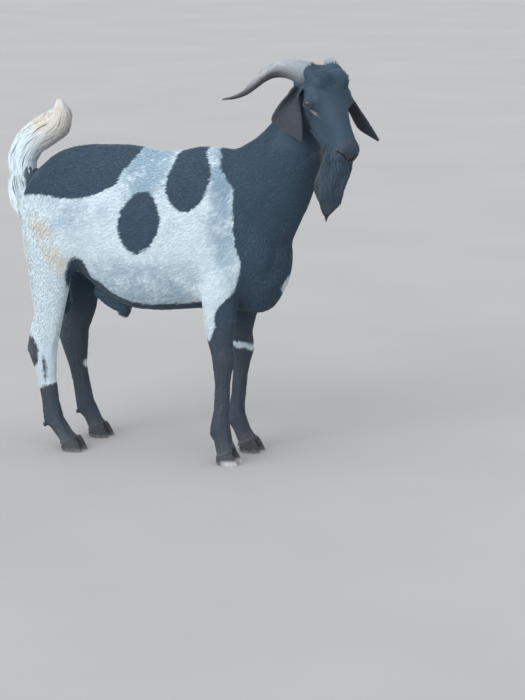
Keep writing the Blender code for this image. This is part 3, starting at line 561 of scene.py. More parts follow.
def nodeMesh(names):
    # The nodes' points, triangles, and which node each triangle is from
    points, faces, owners = [], [], []
    count = 0
    for index, name in enumerate(names):
        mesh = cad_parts[name].data
        mesh.calc_loop_triangles()
        co = np.empty(len(mesh.vertices) * 3)
        mesh.vertices.foreach_get("co", co)
        tri = np.empty(len(mesh.loop_triangles) * 3, int)
        mesh.loop_triangles.foreach_get("vertices", tri)
        points.append(co.reshape(-1, 3))
        faces.append(tri.reshape(-1, 3) + count)
        owners.append(np.full(len(tri) // 3, index))
        count += len(co) // 3
    return np.concatenate(points), np.concatenate(faces), np.concatenate(owners)


def meshFrom(name, points, faces):
    # faces is an array with the same number of corners in every row
    mesh = bpy.data.meshes.new(name)
    faces = np.asarray(faces)
    mesh.vertices.add(len(points))
    mesh.vertices.foreach_set("co", np.asarray(points, np.float32).ravel())
    mesh.loops.add(faces.size)
    mesh.loops.foreach_set("vertex_index", faces.ravel().astype(np.int32))
    mesh.polygons.add(len(faces))
    mesh.polygons.foreach_set("loop_start", np.arange(0, faces.size, faces.shape[1], dtype=np.int32))
    mesh.polygons.foreach_set("loop_total", np.full(len(faces), faces.shape[1], np.int32))
    mesh.update(calc_edges=True)
    mesh.validate()
    return mesh


def addPiece(name, mesh, material, slot, *replaced):
    piece = bpy.data.objects.new(name, mesh)
    scene.collection.objects.link(piece)
    mesh.materials.append(material)
    mesh.polygons.foreach_set("use_smooth", np.full(len(mesh.polygons), True))
    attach(piece, "root")
    if replaced:
        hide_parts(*replaced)
    return piece


def setAttribute(mesh, name, values):
    values = np.asarray(values, np.float32)
    kind = "FLOAT_VECTOR" if values.ndim == 2 else "FLOAT"
    layer = mesh.attributes.new(name, kind, "POINT")
    layer.data.foreach_set("vector" if values.ndim == 2 else "value", values.ravel())


def meshArrays(mesh):
    co = np.empty(len(mesh.vertices) * 3)
    mesh.vertices.foreach_get("co", co)
    edges = np.empty(len(mesh.edges) * 2, int)
    mesh.edges.foreach_get("vertices", edges)
    return co.reshape(-1, 3), edges.reshape(-1, 2)


def meshNormals(mesh):
    normals = np.empty(len(mesh.vertices) * 3)
    mesh.vertices.foreach_get("normal", normals)
    return normals.reshape(-1, 3)


def setPoints(mesh, co):
    mesh.vertices.foreach_set("co", co.astype(np.float32).ravel())
    mesh.update()


def meshOf(name, bm):
    mesh = bpy.data.meshes.new(name)
    bm.to_mesh(mesh)
    bm.free()
    return mesh


def ringedMesh(name, rings):
    # Quads between rings of points, and a cap on each end
    bm = bmesh.new()
    loops = [[bm.verts.new(p) for p in ring] for ring in rings]
    for one, two in zip(loops, loops[1:]):
        for j in range(len(one)):
            after = (j + 1) % len(one)
            bm.faces.new((one[j], one[after], two[after], two[j]))
    bm.faces.new(loops[0])
    bm.faces.new(loops[-1])
    bmesh.ops.recalc_face_normals(bm, faces=bm.faces)
    return meshOf(name, bm)


def evaluated(obj):
    graph = bpy.context.evaluated_depsgraph_get()
    return bpy.data.meshes.new_from_object(obj.evaluated_get(graph))


class Neighbours:
    # Averages of each point's neighbours on a mesh
    def __init__(self, edges, count):
        self.first = np.concatenate([edges[:, 0], edges[:, 1]])
        self.second = np.concatenate([edges[:, 1], edges[:, 0]])
        self.count = np.maximum(np.bincount(self.first, minlength=count), 1)
        self.size = count

    def average(self, values):
        if values.ndim == 1:
            return np.bincount(self.first, values[self.second], self.size) / self.count
        return np.stack([self.average(values[:, k]) for k in range(values.shape[1])], 1)

    def smoothed(self, values, rounds, weight=0.5):
        # weight is one number, or one for each point
        if np.ndim(weight) and values.ndim > 1:
            weight = weight[:, None]
        for _ in range(rounds):
            values = values + (self.average(values) - values) * weight
        return values


def normalsOf(points, faces):
    corners = points[faces]
    across = np.cross(corners[:, 1] - corners[:, 0], corners[:, 2] - corners[:, 0])
    if faces.shape[1] == 4:
        across = np.cross(corners[:, 2] - corners[:, 0], corners[:, 3] - corners[:, 1])
    normals = np.zeros_like(points)
    for k in range(3):
        for c in range(faces.shape[1]):
            normals[:, k] += np.bincount(faces[:, c], across[:, k], len(points))
    return unit(normals)


def facesOf(mesh, corners):
    faces = np.empty(len(mesh.loops), int)
    mesh.loops.foreach_get("vertex_index", faces)
    return faces.reshape(-1, corners)


def nearestNodes(points, tree, owners):
    return np.array([owners[tree.find_nearest(Vector(p))[2]] for p in points])


def surfaceGap(points, normals, tree):
    # How far the CAD surface stands out from each point along its normal
    gap = np.empty(len(points))
    for k, p in enumerate(points):
        at = tree.find_nearest(Vector(p))[0]
        n = normals[k]
        gap[k] = (at[0] - p[0]) * n[0] + (at[1] - p[1]) * n[1] + (at[2] - p[2]) * n[2]
    return gap


def toLine(points, line):
    # Nearest place on a line of (x, z) in the goat's middle plane, and the line's direction there
    p = points - origin
    best = np.full(len(p), 1e9)
    at = np.zeros_like(p)
    way = np.zeros_like(p)
    for a, b in zip(line, line[1:]):
        a3, b3 = np.array([a[0], 0, a[1]]), np.array([b[0], 0, b[1]])
        t = np.clip(((p - a3) @ (b3 - a3)) / ((b3 - a3) @ (b3 - a3)), 0, 1)
        q = a3 + t[:, None] * (b3 - a3)
        d = np.linalg.norm(p - q, axis=1)
        closer = d < best
        best[closer] = d[closer]
        at[closer] = q[closer]
        way[closer] = unit(b3 - a3)
    return at + origin, way


def baseSkin():
    # One closed mesh round all the flesh, smoothed, and set under the coat's tips
    points, faces, owners = nodeMesh(fleshNames)
    tree = BVHTree.FromPolygons(points.tolist(), faces.tolist())
    rough = bpy.data.objects.new("skinBase", meshFrom("skinBase", points, faces))
    scene.collection.objects.link(rough)
    remesh = rough.modifiers.new("remesh", "REMESH")
    remesh.mode = "VOXEL"
    remesh.voxel_size = skinSettings["voxel"]
    mesh = evaluated(rough)
    bpy.data.objects.remove(rough)
    co, edges = meshArrays(mesh)
    quads = facesOf(mesh, 4)
    near = Neighbours(edges, len(co))
    kinds = nearestNodes(co, tree, np.array([kindOf(n) for n in fleshNames])[owners])
    weight = near.smoothed(np.array([skinSettings["smooth"][k] for k in kinds]), 12)
    depth = near.smoothed(np.array([skinSettings["depth"][k] for k in kinds]), 25)
    co = near.smoothed(co, skinSettings["rounds"], 0.5 * weight)
    normals = normalsOf(co, quads)
    gap = np.clip(surfaceGap(co, normals, tree), -0.006, 0.006)
    gap = near.smoothed(gap, 60, 0.5 * np.clip(weight * 2, 0.2, 1))
    co = co + normals * (gap - depth)[:, None]
    co = near.smoothed(co, 2, 0.3)
    # The tail's flesh is a slim core inside its hair
    axis, _ = toLine(co, tailCore)
    isTail = near.smoothed((kinds == "tail") * 1.0, 20)
    co = co + (axis - co) * (isTail * skinSettings["tailDrawnIn"])[:, None]
    setPoints(mesh, co)
    return mesh, kinds


def inHead(points):
    return placed(headFrame.inverted(), points)


def thinnedSkin(mesh, kinds):
    # Fewer triangles on the body, and all of them kept on the head and ears
    obj = bpy.data.objects.new("skin", mesh)
    scene.collection.objects.link(obj)
    co, _ = meshArrays(mesh)
    h = inHead(co)
    keep = (np.isin(kinds, ["head", "eye"]) & (h[:, 0] > skinSettings["headFrom"])) | (kinds == "ear")
    body = obj.vertex_groups.new(name="body")
    body.add(np.flatnonzero(~keep).tolist(), 1.0, "REPLACE")
    total = len(mesh.polygons) * 2
    kept = int(keep.sum()) * 2
    thin = obj.modifiers.new("thin", "DECIMATE")
    thin.vertex_group = "body"
    thin.ratio = (skinSettings["bodyTriangles"] + kept) / total
    thin.use_collapse_triangulate = True
    done = evaluated(obj)
    bpy.data.objects.remove(obj)
    return done


def refined(mesh, test):
    # Splits the edges whose ends both pass the test
    bm = bmesh.new()
    bm.from_mesh(mesh)
    chosen = test(np.array([v.co for v in bm.verts]))
    edges = [e for e in bm.edges if chosen[e.verts[0].index] and chosen[e.verts[1].index]]
    bmesh.ops.subdivide_edges(bm, edges=edges, cuts=1, use_grid_fill=True)
    bmesh.ops.triangulate(bm, faces=[f for f in bm.faces if len(f.verts) > 3])
    bm.to_mesh(mesh)
    bm.free()
    return mesh


print("places and node groups ready")

# Head details

eyeSettings = {
    "radius": 0.0145, "halfLong": 0.0106, "halfHigh": 0.0050,
    "gaze": (0.25, 0.95, 0.03), "corners": (-1.0, 0, -0.38),
    # How far the skin lies under the ball's surface behind it, and over it at the rim and on the lid
    "sunk": 0.0042, "rim": 0.0006, "lid": 0.0019,
    "segments": 72, "rings": 48, "bulge": 0.0010,
}


def eyeAxes(side):
    # Gaze, the line from the inner corner to the outer, and up, in the head's frame
    s = sides[side]
    gaze = np.array(eyeSettings["gaze"]) * (1, s, 1)
    gaze = gaze / np.linalg.norm(gaze)
    long = np.array(eyeSettings["corners"])
    long = long - gaze * (long @ gaze)
    long /= np.linalg.norm(long)
    up = np.cross(gaze, long) * -s
    up = up if up[2] > 0 else -up
    return gaze, long, up


def eyeMeasure(h, side):
    # For points in the head's frame: the opening's measure (1 on its rim), how high over its middle, and
    # the way there from the eye's centre
    gaze, long, up = eyeAxes(side)
    q = h - inHead(np.array([eyeCentres[side]]))[0]
    a, b = q @ long, q @ up
    bow = np.clip(1 - (a / eyeSettings["halfLong"]) ** 2, 0.02, 1) ** 0.35
    high = eyeSettings["halfHigh"] * np.where(b > 0, 1.08, 0.92)
    rim = np.sqrt((a / eyeSettings["halfLong"]) ** 2 + (b / high) ** 2 / (0.35 + 0.65 * bow))
    return np.where(q @ gaze > 0, rim, 9.0), b, q


# In the head's frame: the slit of the left nostril, and forward and up along the mouth
nostrilLine = np.array([
    (0.1545, 0.0070, -0.0290), (0.1545, 0.0085, -0.0220), (0.1520, 0.0130, -0.0160),
    (0.1475, 0.0190, -0.0130), (0.1415, 0.0235, -0.0140), (0.1365, 0.0260, -0.0180)])
mouthLine = np.array([
    (0.098, -0.0455), (0.110, -0.0480), (0.126, -0.0495), (0.142, -0.0495), (0.165, -0.0480)])
faceForms = [  # centre, radii and height, sideways counted outward, and whether it fades out at the lids
    ((-0.008, 0.040, 0.022), (0.018, 0.012, 0.008), 0.0028, True),  # brow
    ((0.020, 0.044, -0.012), (0.026, 0.012, 0.006), 0.0022, True),  # cheekbone
    ((0.034, 0.036, -0.002), (0.014, 0.010, 0.005), -0.0016, True),  # hollow of the tear line
    ((0.075, 0.028, -0.020), (0.030, 0.012, 0.012), -0.0018, False),  # hollow of the cheek
    ((0.136, 0.020, -0.005), (0.010, 0.006, 0.008), 0.0016, False),  # over the nostril
]


def mouthLevel(h):
    # How high over the line of the mouth
    return h[:, 2] - np.interp(h[:, 0], *mouthLine.T)


def nostrilDistance(h):
    # Distance to the nearer nostril's line, once the line has been laid on the muzzle's own surface
    near = np.full(len(h), 1e9)
    front = np.flatnonzero(h[:, 0] > 0.10)
    if not len(front):
        return near
    for s in sides.values():
        line = alongRows(nostrilLine * (1, s, 1), np.linspace(0, 1, 16))
        laid = np.array([h[front][np.argmin(((h[front] - p) ** 2).sum(1))] for p in line])
        laid[1:-1] = (laid[:-2] + 2 * laid[1:-1] + laid[2:]) / 4
        near[front] = np.minimum(near[front], lineDistance(h[front], laid))
    return near


def headMasks(h):
    # Where the hair is left off: 1 on bare skin
    bare = ramp(nostrilDistance(h), 0.0056, 0.0032)
    for side in sides:
        bare = np.maximum(bare, ramp(eyeMeasure(h, side)[0], 1.42, 1.16))
    lips = ramp(np.abs(mouthLevel(h)), 0.0042, 0.0022) * ramp(h[:, 0], 0.096, 0.106)
    pad = ramp(h[:, 0], 0.1495, 0.1530) * ramp(np.abs(h[:, 1]), 0.0085, 0.0050)
    pad *= ramp(h[:, 2], -0.013, -0.019)
    return np.maximum(np.maximum(bare, lips), pad)


def shapeEye(out, h, side):
    # The lids round the ball, with a crease over and under them
    rim, high, q = eyeMeasure(h, side)
    margin = ramp(rim, 0.86, 1.06)
    sunk, rise, lid = (eyeSettings[key] for key in ("sunk", "rim", "lid"))
    wanted = eyeSettings["radius"] - sunk + margin * (sunk + rise)
    wanted += (lid - rise) * ramp(rim, 1.02, 1.30)
    upper = (high > 0) * 1.0
    over = 0.0010 * np.exp(-((rim - 1.95) / 0.22) ** 2)
    under = 0.0005 * np.exp(-((rim - 2.1) / 0.25) ** 2)
    wanted -= over * upper + under * (1 - upper)
    r = np.linalg.norm(q, axis=1)
    new = r + (wanted - r) * ramp(rim, 3.1, 1.45)
    move = (new / np.maximum(r, 1e-6))[:, None]
    return np.where((rim < 3.1)[:, None], h - q + q * move, out), rim


def shapeHead(points, normals, isHead):
    # Lids, nostrils, mouth, and the folds and bones under thin skin
    h = inHead(points)
    n = normals @ np.array(headFrame.to_3x3())
    out = h.copy()
    for side, s in sides.items():
        out, rim = shapeEye(out, h, side)
        away = ramp(rim, 1.5, 2.6)[:, None]
        for centre, radii, height, fades in faceForms:
            lift = n * (swelling(h, np.array(centre) * (1, s, 1), radii) * height)[:, None]
            out += away * lift if fades else lift
    # Nostrils
    near = nostrilDistance(h)
    out -= n * (0.0066 * ramp(near, 0.0032, 0.0006))[:, None]
    out += n * (0.0011 * np.exp(-((near - 0.0048) / 0.0016) ** 2))[:, None]
    # Mouth, with a fuller lip on each side of it
    level = mouthLevel(h)
    reach = ramp(h[:, 0], 0.094, 0.104)
    out -= n * (reach * 0.0030 * np.exp(-(level / 0.00105) ** 2))[:, None]
    out += n * (reach * 0.0011 * np.exp(-((level - 0.0046) / 0.0026) ** 2))[:, None]
    out += n * (reach * 0.0014 * np.exp(-((level + 0.0046) / 0.0028) ** 2))[:, None]
    # The groove in the upper lip
    split = ramp(h[:, 0], 0.138, 0.146) * ramp(h[:, 2], -0.050, -0.044) * ramp(h[:, 2], -0.010, -0.018)
    out -= n * (split * 0.0014 * np.exp(-(h[:, 1] / 0.0011) ** 2))[:, None]
    return placed(headFrame, np.where(isHead[:, None], out, h))


# Bones and tendons under the coat of body and legs

# Centre, radii and height, with sideways counted outward from the middle plane.
foreForms = [  # from the knee
    ((0.017, 0.069, 0.002), (0.012, 0.016, 0.020), 0.0022),  # front of the knee
    ((0.002, 0.087, 0.004), (0.014, 0.008, 0.014), 0.0012),
    ((0.002, 0.051, 0.004), (0.014, 0.008, 0.014), 0.0012),
    ((-0.019, 0.072, 0.014), (0.008, 0.010, 0.011), 0.0028),  # the bone behind it
    ((0.004, 0.069, -0.034), (0.020, 0.030, 0.010), -0.0012),
    ((-0.010, 0.086, -0.095), (0.0035, 0.010, 0.055), -0.0016),  # grooves beside the tendons
    ((-0.010, 0.052, -0.095), (0.0035, 0.010, 0.055), -0.0016),
    ((-0.004, 0.090, 0.075), (0.004, 0.012, 0.040), -0.0014),
]
hindForms = [  # from the hock
    ((-0.028, 0.075, 0.038), (0.009, 0.010, 0.012), 0.0030),  # point of the hock
    ((-0.014, 0.090, 0.085), (0.006, 0.012, 0.040), -0.0034),  # hollows ahead of the great tendon
    ((-0.014, 0.062, 0.085), (0.006, 0.012, 0.040), -0.0034),
    ((0.016, 0.078, 0.000), (0.010, 0.016, 0.018), 0.0014),
    ((0.000, 0.094, 0.004), (0.012, 0.008, 0.016), 0.0012),
    ((0.012, 0.092, -0.080), (0.0035, 0.010, 0.050), -0.0015),
    ((0.012, 0.064, -0.080), (0.0035, 0.010, 0.050), -0.0015),
]
bodyForms = [  # from the goat's origin
    ((-0.245, 0.115, 0.660), (0.030, 0.03, 0.030), -0.0050),  # hollow of the flank
    ((-0.300, 0.090, 0.700), (0.022, 0.03, 0.020), 0.0028),  # hip
    ((-0.305, 0.110, 0.470), (0.020, 0.03, 0.028), 0.0024),  # stifle
    ((0.085, 0.120, 0.500), (0.022, 0.03, 0.030), 0.0024),  # point of the shoulder
    ((0.030, 0.100, 0.690), (0.010, 0.03, 0.060), 0.0014),  # shoulder blade
    ((-0.395, 0.060, 0.690), (0.018, 0.03, 0.018), -0.0018),
    ((-0.455, 0.050, 0.590), (0.016, 0.02, 0.020), 0.0020),  # seat bone
]
ribs = {"height": 0.0007, "apart": 0.034, "slant": 0.35}
jointPlaces = {  # where the knees and hocks stand: forward and up
    "fore": {"left": (0.047, 0.255), "right": (0.057, 0.255)},
    "hind": {"left": (-0.410, 0.250), "right": (-0.417, 0.250)},
}

dewclawPlaces = {  # body coordinates: behind each fetlock
    "ForeLeft": (0.011, 0.069, 0.072), "ForeRight": (0.027, -0.069, 0.072),
    "HindLeft": (-0.396, 0.077, 0.060), "HindRight": (-0.412, -0.077, 0.060),
}


def shapeBody(points, normals, isHead):
    p = points - origin
    x, z = p[:, 0], p[:, 2]
    lift = np.zeros(len(p))
    for side, s in sides.items():
        mirrored = p * (1, s, 1)
        for limb, forms in (("fore", foreForms), ("hind", hindForms)):
            forward, up = jointPlaces[limb][side]
            for centre, radii, height in forms:
                lift += height * swelling(mirrored, centre, radii, (forward, 0, up))
            # Flat under the dewclaws, which are pieces of their own
            forward, _, up = dewclawPlaces[limb.capitalize() + side.capitalize()]
            lift -= 0.0030 * swelling(mirrored, (forward - 0.004, 0.075, up), (0.012, 0.025, 0.009))
        for centre, radii, height in bodyForms:
            lift += height * swelling(mirrored, centre, radii)
        ribbed = ramp(mirrored[:, 1], 0.07, 0.10) * ramp(x, 0.02, -0.03) * ramp(x, -0.24, -0.19)
        ribbed *= ramp(z, 0.42, 0.48) * ramp(z, 0.70, 0.64)
        wave = np.sin((x - ribs["slant"] * (z - 0.6)) * 2 * math.pi / ribs["apart"])
        lift += ribs["height"] * ribbed * wave
    return points + normals * np.where(isHead, 0, lift)[:, None]


# The unwrap shared by skin and coat


chartGap = 0.006


def unwrap(points, faces, faceNode, near):
    # A box unwrap: a chart for every node and main direction, packed in rows, as a place for each corner
    corners = points[faces]
    across = unit(np.cross(corners[:, 1] - corners[:, 0], corners[:, 2] - corners[:, 0]))
    # Broad directions only, so that small bumps don't break a chart up
    normals = near.smoothed(normalsOf(points, faces), 30)
    broad = unit(normals[faces].mean(1) + 0.15 * across)
    axis = np.abs(broad).argmax(1)
    sign = (np.take_along_axis(broad, axis[:, None], 1)[:, 0] > 0).astype(int)
    chart = faceNode * 6 + axis * 2 + sign
    uv = np.zeros((len(faces), 3, 2))
    flatAxes = [(1, 2), (0, 2), (0, 1)]
    boxes = []
    for key in np.unique(chart):
        rows = np.flatnonzero(chart == key)
        flat = corners[rows][:, :, flatAxes[(key % 6) // 2]]
        low = flat.reshape(-1, 2).min(0)
        uv[rows] = flat - low
        boxes.append((rows, flat.reshape(-1, 2).max(0) - low))
    boxes.sort(key=lambda box: -box[1][1])
    area = sum((size[0] + chartGap) * (size[1] + chartGap) for _, size in boxes)
    width = math.sqrt(area) * 1.12
    x = y = tall = 0.0
    for rows, size in boxes:
        if x + size[0] > width:
            x, y, tall = 0.0, y + tall + chartGap, 0.0
        uv[rows] += (x, y)
        x += size[0] + chartGap
        tall = max(tall, size[1])
    return (uv + chartGap / 2) / max(width + chartGap, y + tall + chartGap)


def setUnwrap(mesh, uv):
    layer = mesh.uv_layers.new(name="OFBake")
    layer.data.foreach_set("uv", np.asarray(uv, np.float32).ravel())
    layer.active = True
    layer.active_render = True


# The lie of the hair

lieSettings = {
    "trunk": (-1.0, 0, -0.50), "neck": (-0.62, 0.06, -0.78), "thigh": (-0.22, 0, -1.0),
    "forearm": (-0.12, 0, -1.0), "forefoot": (0.0, 0, -1.0), "hindfoot": (0.05, 0, -1.0),
}
chestWay, rumpWay = (-0.35, 0, -1.0), (-0.25, 0, -1.0)
earWays = {  # level head frame, base to tip
    "ear_right": (-0.12, -0.05, -0.99), "ear_left": (0.31, 0.46, -0.83),
}


def lieOfHair(points, normals, node, near):
    kinds = np.array([kindOf(n) for n in node])
    way = np.zeros_like(points)
    for kind, direction in lieSettings.items():
        way[kinds == kind] = direction
    p = points - origin
    trunk = kinds == "trunk"
    way[trunk, 2] *= ramp(np.abs(p[:, 1]), 0.03, 0.09)[trunk]  # straight back along the spine
    chest = ramp(p[:, 0], 0.02, 0.12)[:, None]
    way = np.where(trunk[:, None], way * (1 - chest) + np.array(chestWay) * chest, way)
    rump = (ramp(p[:, 0], -0.30, -0.42) * ramp(np.abs(p[:, 1]), 0.02, 0.07))[:, None]
    way = np.where(trunk[:, None], way * (1 - rump) + np.array(rumpWay) * rump, way)
    # From the nose up and back, parting from the middle of the face, and round the eyes
    h = inHead(points)
    parting = 0.9 * h[:, 1] / 0.05 * ramp(h[:, 0], 0.12, 0.0)
    back = np.stack([-np.ones(len(h)), parting, -0.35 * ramp(h[:, 2], 0.01, -0.03)], 1)
    for side in sides:
        rim, _, q = eyeMeasure(h, side)
        back += q / 0.014 * (ramp(rim, 3.2, 1.2) * 1.6)[:, None]
    back = back @ np.array(headFrame.to_3x3()).T
    way = np.where(np.isin(kinds, ["head", "eye"])[:, None], back, way)
    for name, direction in earWays.items():
        way[node == name] = np.array(levelHead.to_3x3() @ Vector(direction))
    way[kinds == "tail"] = toLine(points, tailLine)[1][kinds == "tail"]
    way = unit(way)
    for _ in range(30):
        way = way + 0.5 * (near.average(way) - way)
        way = way - normals * (way * normals).sum(1)[:, None]
        way = unit(way)
    return way


# Building the skin


def onFace(co):
    h = inHead(co)
    ahead = (h[:, 0] > -0.020) & (h[:, 0] < 0.3)
    return ahead & (np.abs(h[:, 1]) < 0.07) & (h[:, 2] < 0.06) & (h[:, 2] > -0.10)


def nearLidsAndLips(co):
    h = inHead(co)
    lips = (np.abs(mouthLevel(h)) < 0.006) & (h[:, 0] > 0.092) & (np.abs(h[:, 1]) < 0.06)
    chosen = (nostrilDistance(h) < 0.008) | lips
    for side in sides:
        chosen |= eyeMeasure(h, side)[0] < 1.9
    return chosen


def buildSkin():
    mesh, kinds = baseSkin()
    print("skin base", len(mesh.vertices))
    mesh = thinnedSkin(mesh, kinds)
    print("skin thinned", len(mesh.polygons))
    mesh = refined(refined(mesh, onFace), nearLidsAndLips)
    co, edges = meshArrays(mesh)
    faces = facesOf(mesh, 3)
    near = Neighbours(edges, len(co))
    points, cadFaces, owners = nodeMesh(fleshNames)
    tree = BVHTree.FromPolygons(points.tolist(), cadFaces.tolist())
    node = np.array(fleshNames)[nearestNodes(co, tree, owners)]
    isHead = np.isin(node, ["head", "eye_left", "eye_right"])
    co = shapeHead(co, normalsOf(co, faces), isHead)
    co = shapeBody(co, normalsOf(co, faces), isHead)
    co = near.smoothed(co, 2, 0.35 * np.where(isHead, 1.0, 0.0))
    normals = normalsOf(co, faces)
    setPoints(mesh, co)
    skin = SimpleNamespace(points=co, faces=faces, normals=normals, node=node, near=near)
    skin.kinds = np.array([kindOf(n) for n in node])
    skin.lie = lieOfHair(co, normals, node, near)
    faceNode = np.unique(node, return_inverse=True)[1][faces[:, 0]]
    skin.uv = unwrap(co, faces, faceNode, near)
    skin.patch, skin.ticking, skin.tan, skin.brown = markings(co, node)
    skin.head = inHead(co)
    skin.bare = np.where(isHead, headMasks(skin.head), 0.0)
    addPiece("skin", mesh, skinMaterial(), "coat_white", *(n for n in fleshNames if kindOf(n) != "eye"))
    setUnwrap(mesh, skin.uv)
    for name in ("patch", "ticking", "tan", "brown", "bare", "lie"):
        setAttribute(mesh, name, getattr(skin, name))
    setAttribute(mesh, "rootPlace", co)
    setAttribute(mesh, "strand", np.full(len(co), 0.5))
    # The skin lies at the hairs' roots and takes part of their painted shade
    setAttribute(mesh, "along", np.full(len(co), 0.35))
    return skin


skin = buildSkin()
print("skin done", len(skin.faces), "triangles")


# Tufts

# Length, width, how high the tip stands off the skin, and how many times over the tufts cover it
tuftSettings = {
    "trunk": (0.0140, 0.0019, 0.0026, 1.55), "neck": (0.0145, 0.0019, 0.0026, 1.5),
    "thigh": (0.0125, 0.0018, 0.0021, 1.5), "forearm": (0.0105, 0.0017, 0.0017, 1.4),
    "forefoot": (0.0080, 0.0015, 0.0012, 1.0), "hindfoot": (0.0080, 0.0015, 0.0012, 1.0),
    "head": (0.0062, 0.0011, 0.0010, 1.4), "ear": (0.0066, 0.0013, 0.0008, 1.1),
    "eye": (0.0040, 0.0009, 0.0007, 1.3), "tail": (0.0200, 0.0026, 0.0040, 0.6),
}
tuftMiddle = 0.42  # where a tuft is widest, from its root to its tip
mostPerPiece = 31000
coatPieces = {  # kind of flesh: its pieces' label and slot
    "trunk": ("Body", "coat_white"), "neck": ("Neck", "coat_black"), "thigh": ("Thighs", "coat_white"),
    "forearm": ("Forelegs", "coat_black"), "forefoot": ("Forefeet", "coat_black"),
    "hindfoot": ("Hindfeet", "coat_black"), "head": ("Head", "coat_black"), "eye": ("Head", "coat_black"),
    "ear": ("Ears", "coat_brown"), "tail": ("Tail", "coat_white"),
}
markNames = ("patch", "ticking", "tan", "brown")


def spatialOrder(centres):
    # Keys that put near places near each other in a row
    cell = np.floor((centres - centres.min(0)) / 0.006).astype(np.int64)
    key = np.zeros(len(cell), np.int64)
    for bit in range(9):
        for k in range(3):
            key |= ((cell[:, k] >> bit) & 1) << (3 * bit + k)
    return np.argsort(key, kind="stable")


def faceAreas():
    corners = skin.points[skin.faces]
    return np.linalg.norm(np.cross(corners[:, 1] - corners[:, 0], corners[:, 2] - corners[:, 0]), axis=1) / 2


def scatterRoots(density):
    # Evenly spread places on the skin, each a triangle and the weights of its corners. The density is a
    # number for each triangle, in roots per square metre.
    order = spatialOrder(skin.points[skin.faces].mean(1))
    total = np.cumsum((faceAreas() * density)[order])
    count = int(total[-1])
    at = (np.arange(count) + dice.uniform(0, 1, count)) * total[-1] / count
    face = order[np.searchsorted(total, np.minimum(at, total[-1] * 0.9999999))]
    first = np.sqrt(dice.uniform(0, 1, count))
    second = dice.uniform(0, 1, count)
    weights = np.stack([1 - first, first * (1 - second), first * second], 1)
    return face, weights


def cornerMix(values, face, weights):
    picked = values[skin.faces[face]]
    return (picked * (weights if picked.ndim == 2 else weights[:, :, None])).sum(1)


def lowNoise(points, scale, seed):
    # A smooth random vector field from a few waves
    waves = np.random.default_rng(seed)
    out = np.zeros_like(points)
    for _ in range(7):
        way = waves.normal(0, 1, (3, 3)) * scale
        out += np.sin(points @ way.T + waves.uniform(0, 6.3, 3)) / 2.6
    return out


skinTree = KDTree(len(skin.points))
for number, place in enumerate(skin.points):
    skinTree.insert(place, number)
skinTree.balance()


def onSkin(points, height):
    # The points moved to a height over the skin near them, with the normal and the skin's own point there
    nearest = np.array([skinTree.find(p)[1] for p in points])
    at, normal = skin.points[nearest], skin.normals[nearest]
    off = ((points - at) * normal).sum(1)
    return points + normal * (height - off)[:, None], normal, nearest


def tuftSizes():
    # Length, width, lift and cover for each point of the skin
    sizes = np.array([tuftSettings[k] for k in skin.kinds])
    sizes = skin.near.smoothed(sizes, 10)
    # Shortest on the nose and lids, longer on the cheek, crown and throat
    isHead = np.isin(skin.kinds, ["head", "eye"])
    face = ramp(skin.head[:, 0], 0.0, 0.11)
    sizes[:, 0] *= np.where(isHead, 1.45 - 0.85 * face, 1)
    sizes[:, 1] *= np.where(isHead, 1.20 - 0.42 * face, 1)
    for side in sides:
        shorter = ramp(eyeMeasure(skin.head, side)[0], 3.6, 1.4)
        sizes[:, 0] *= 1 - 0.45 * shorter
        sizes[:, 1] *= 1 - 0.25 * shorter
    sizes[:, 0] *= 0.72 + 0.28 * ramp((skin.points - origin)[:, 2], 0.035, 0.12)
    return sizes


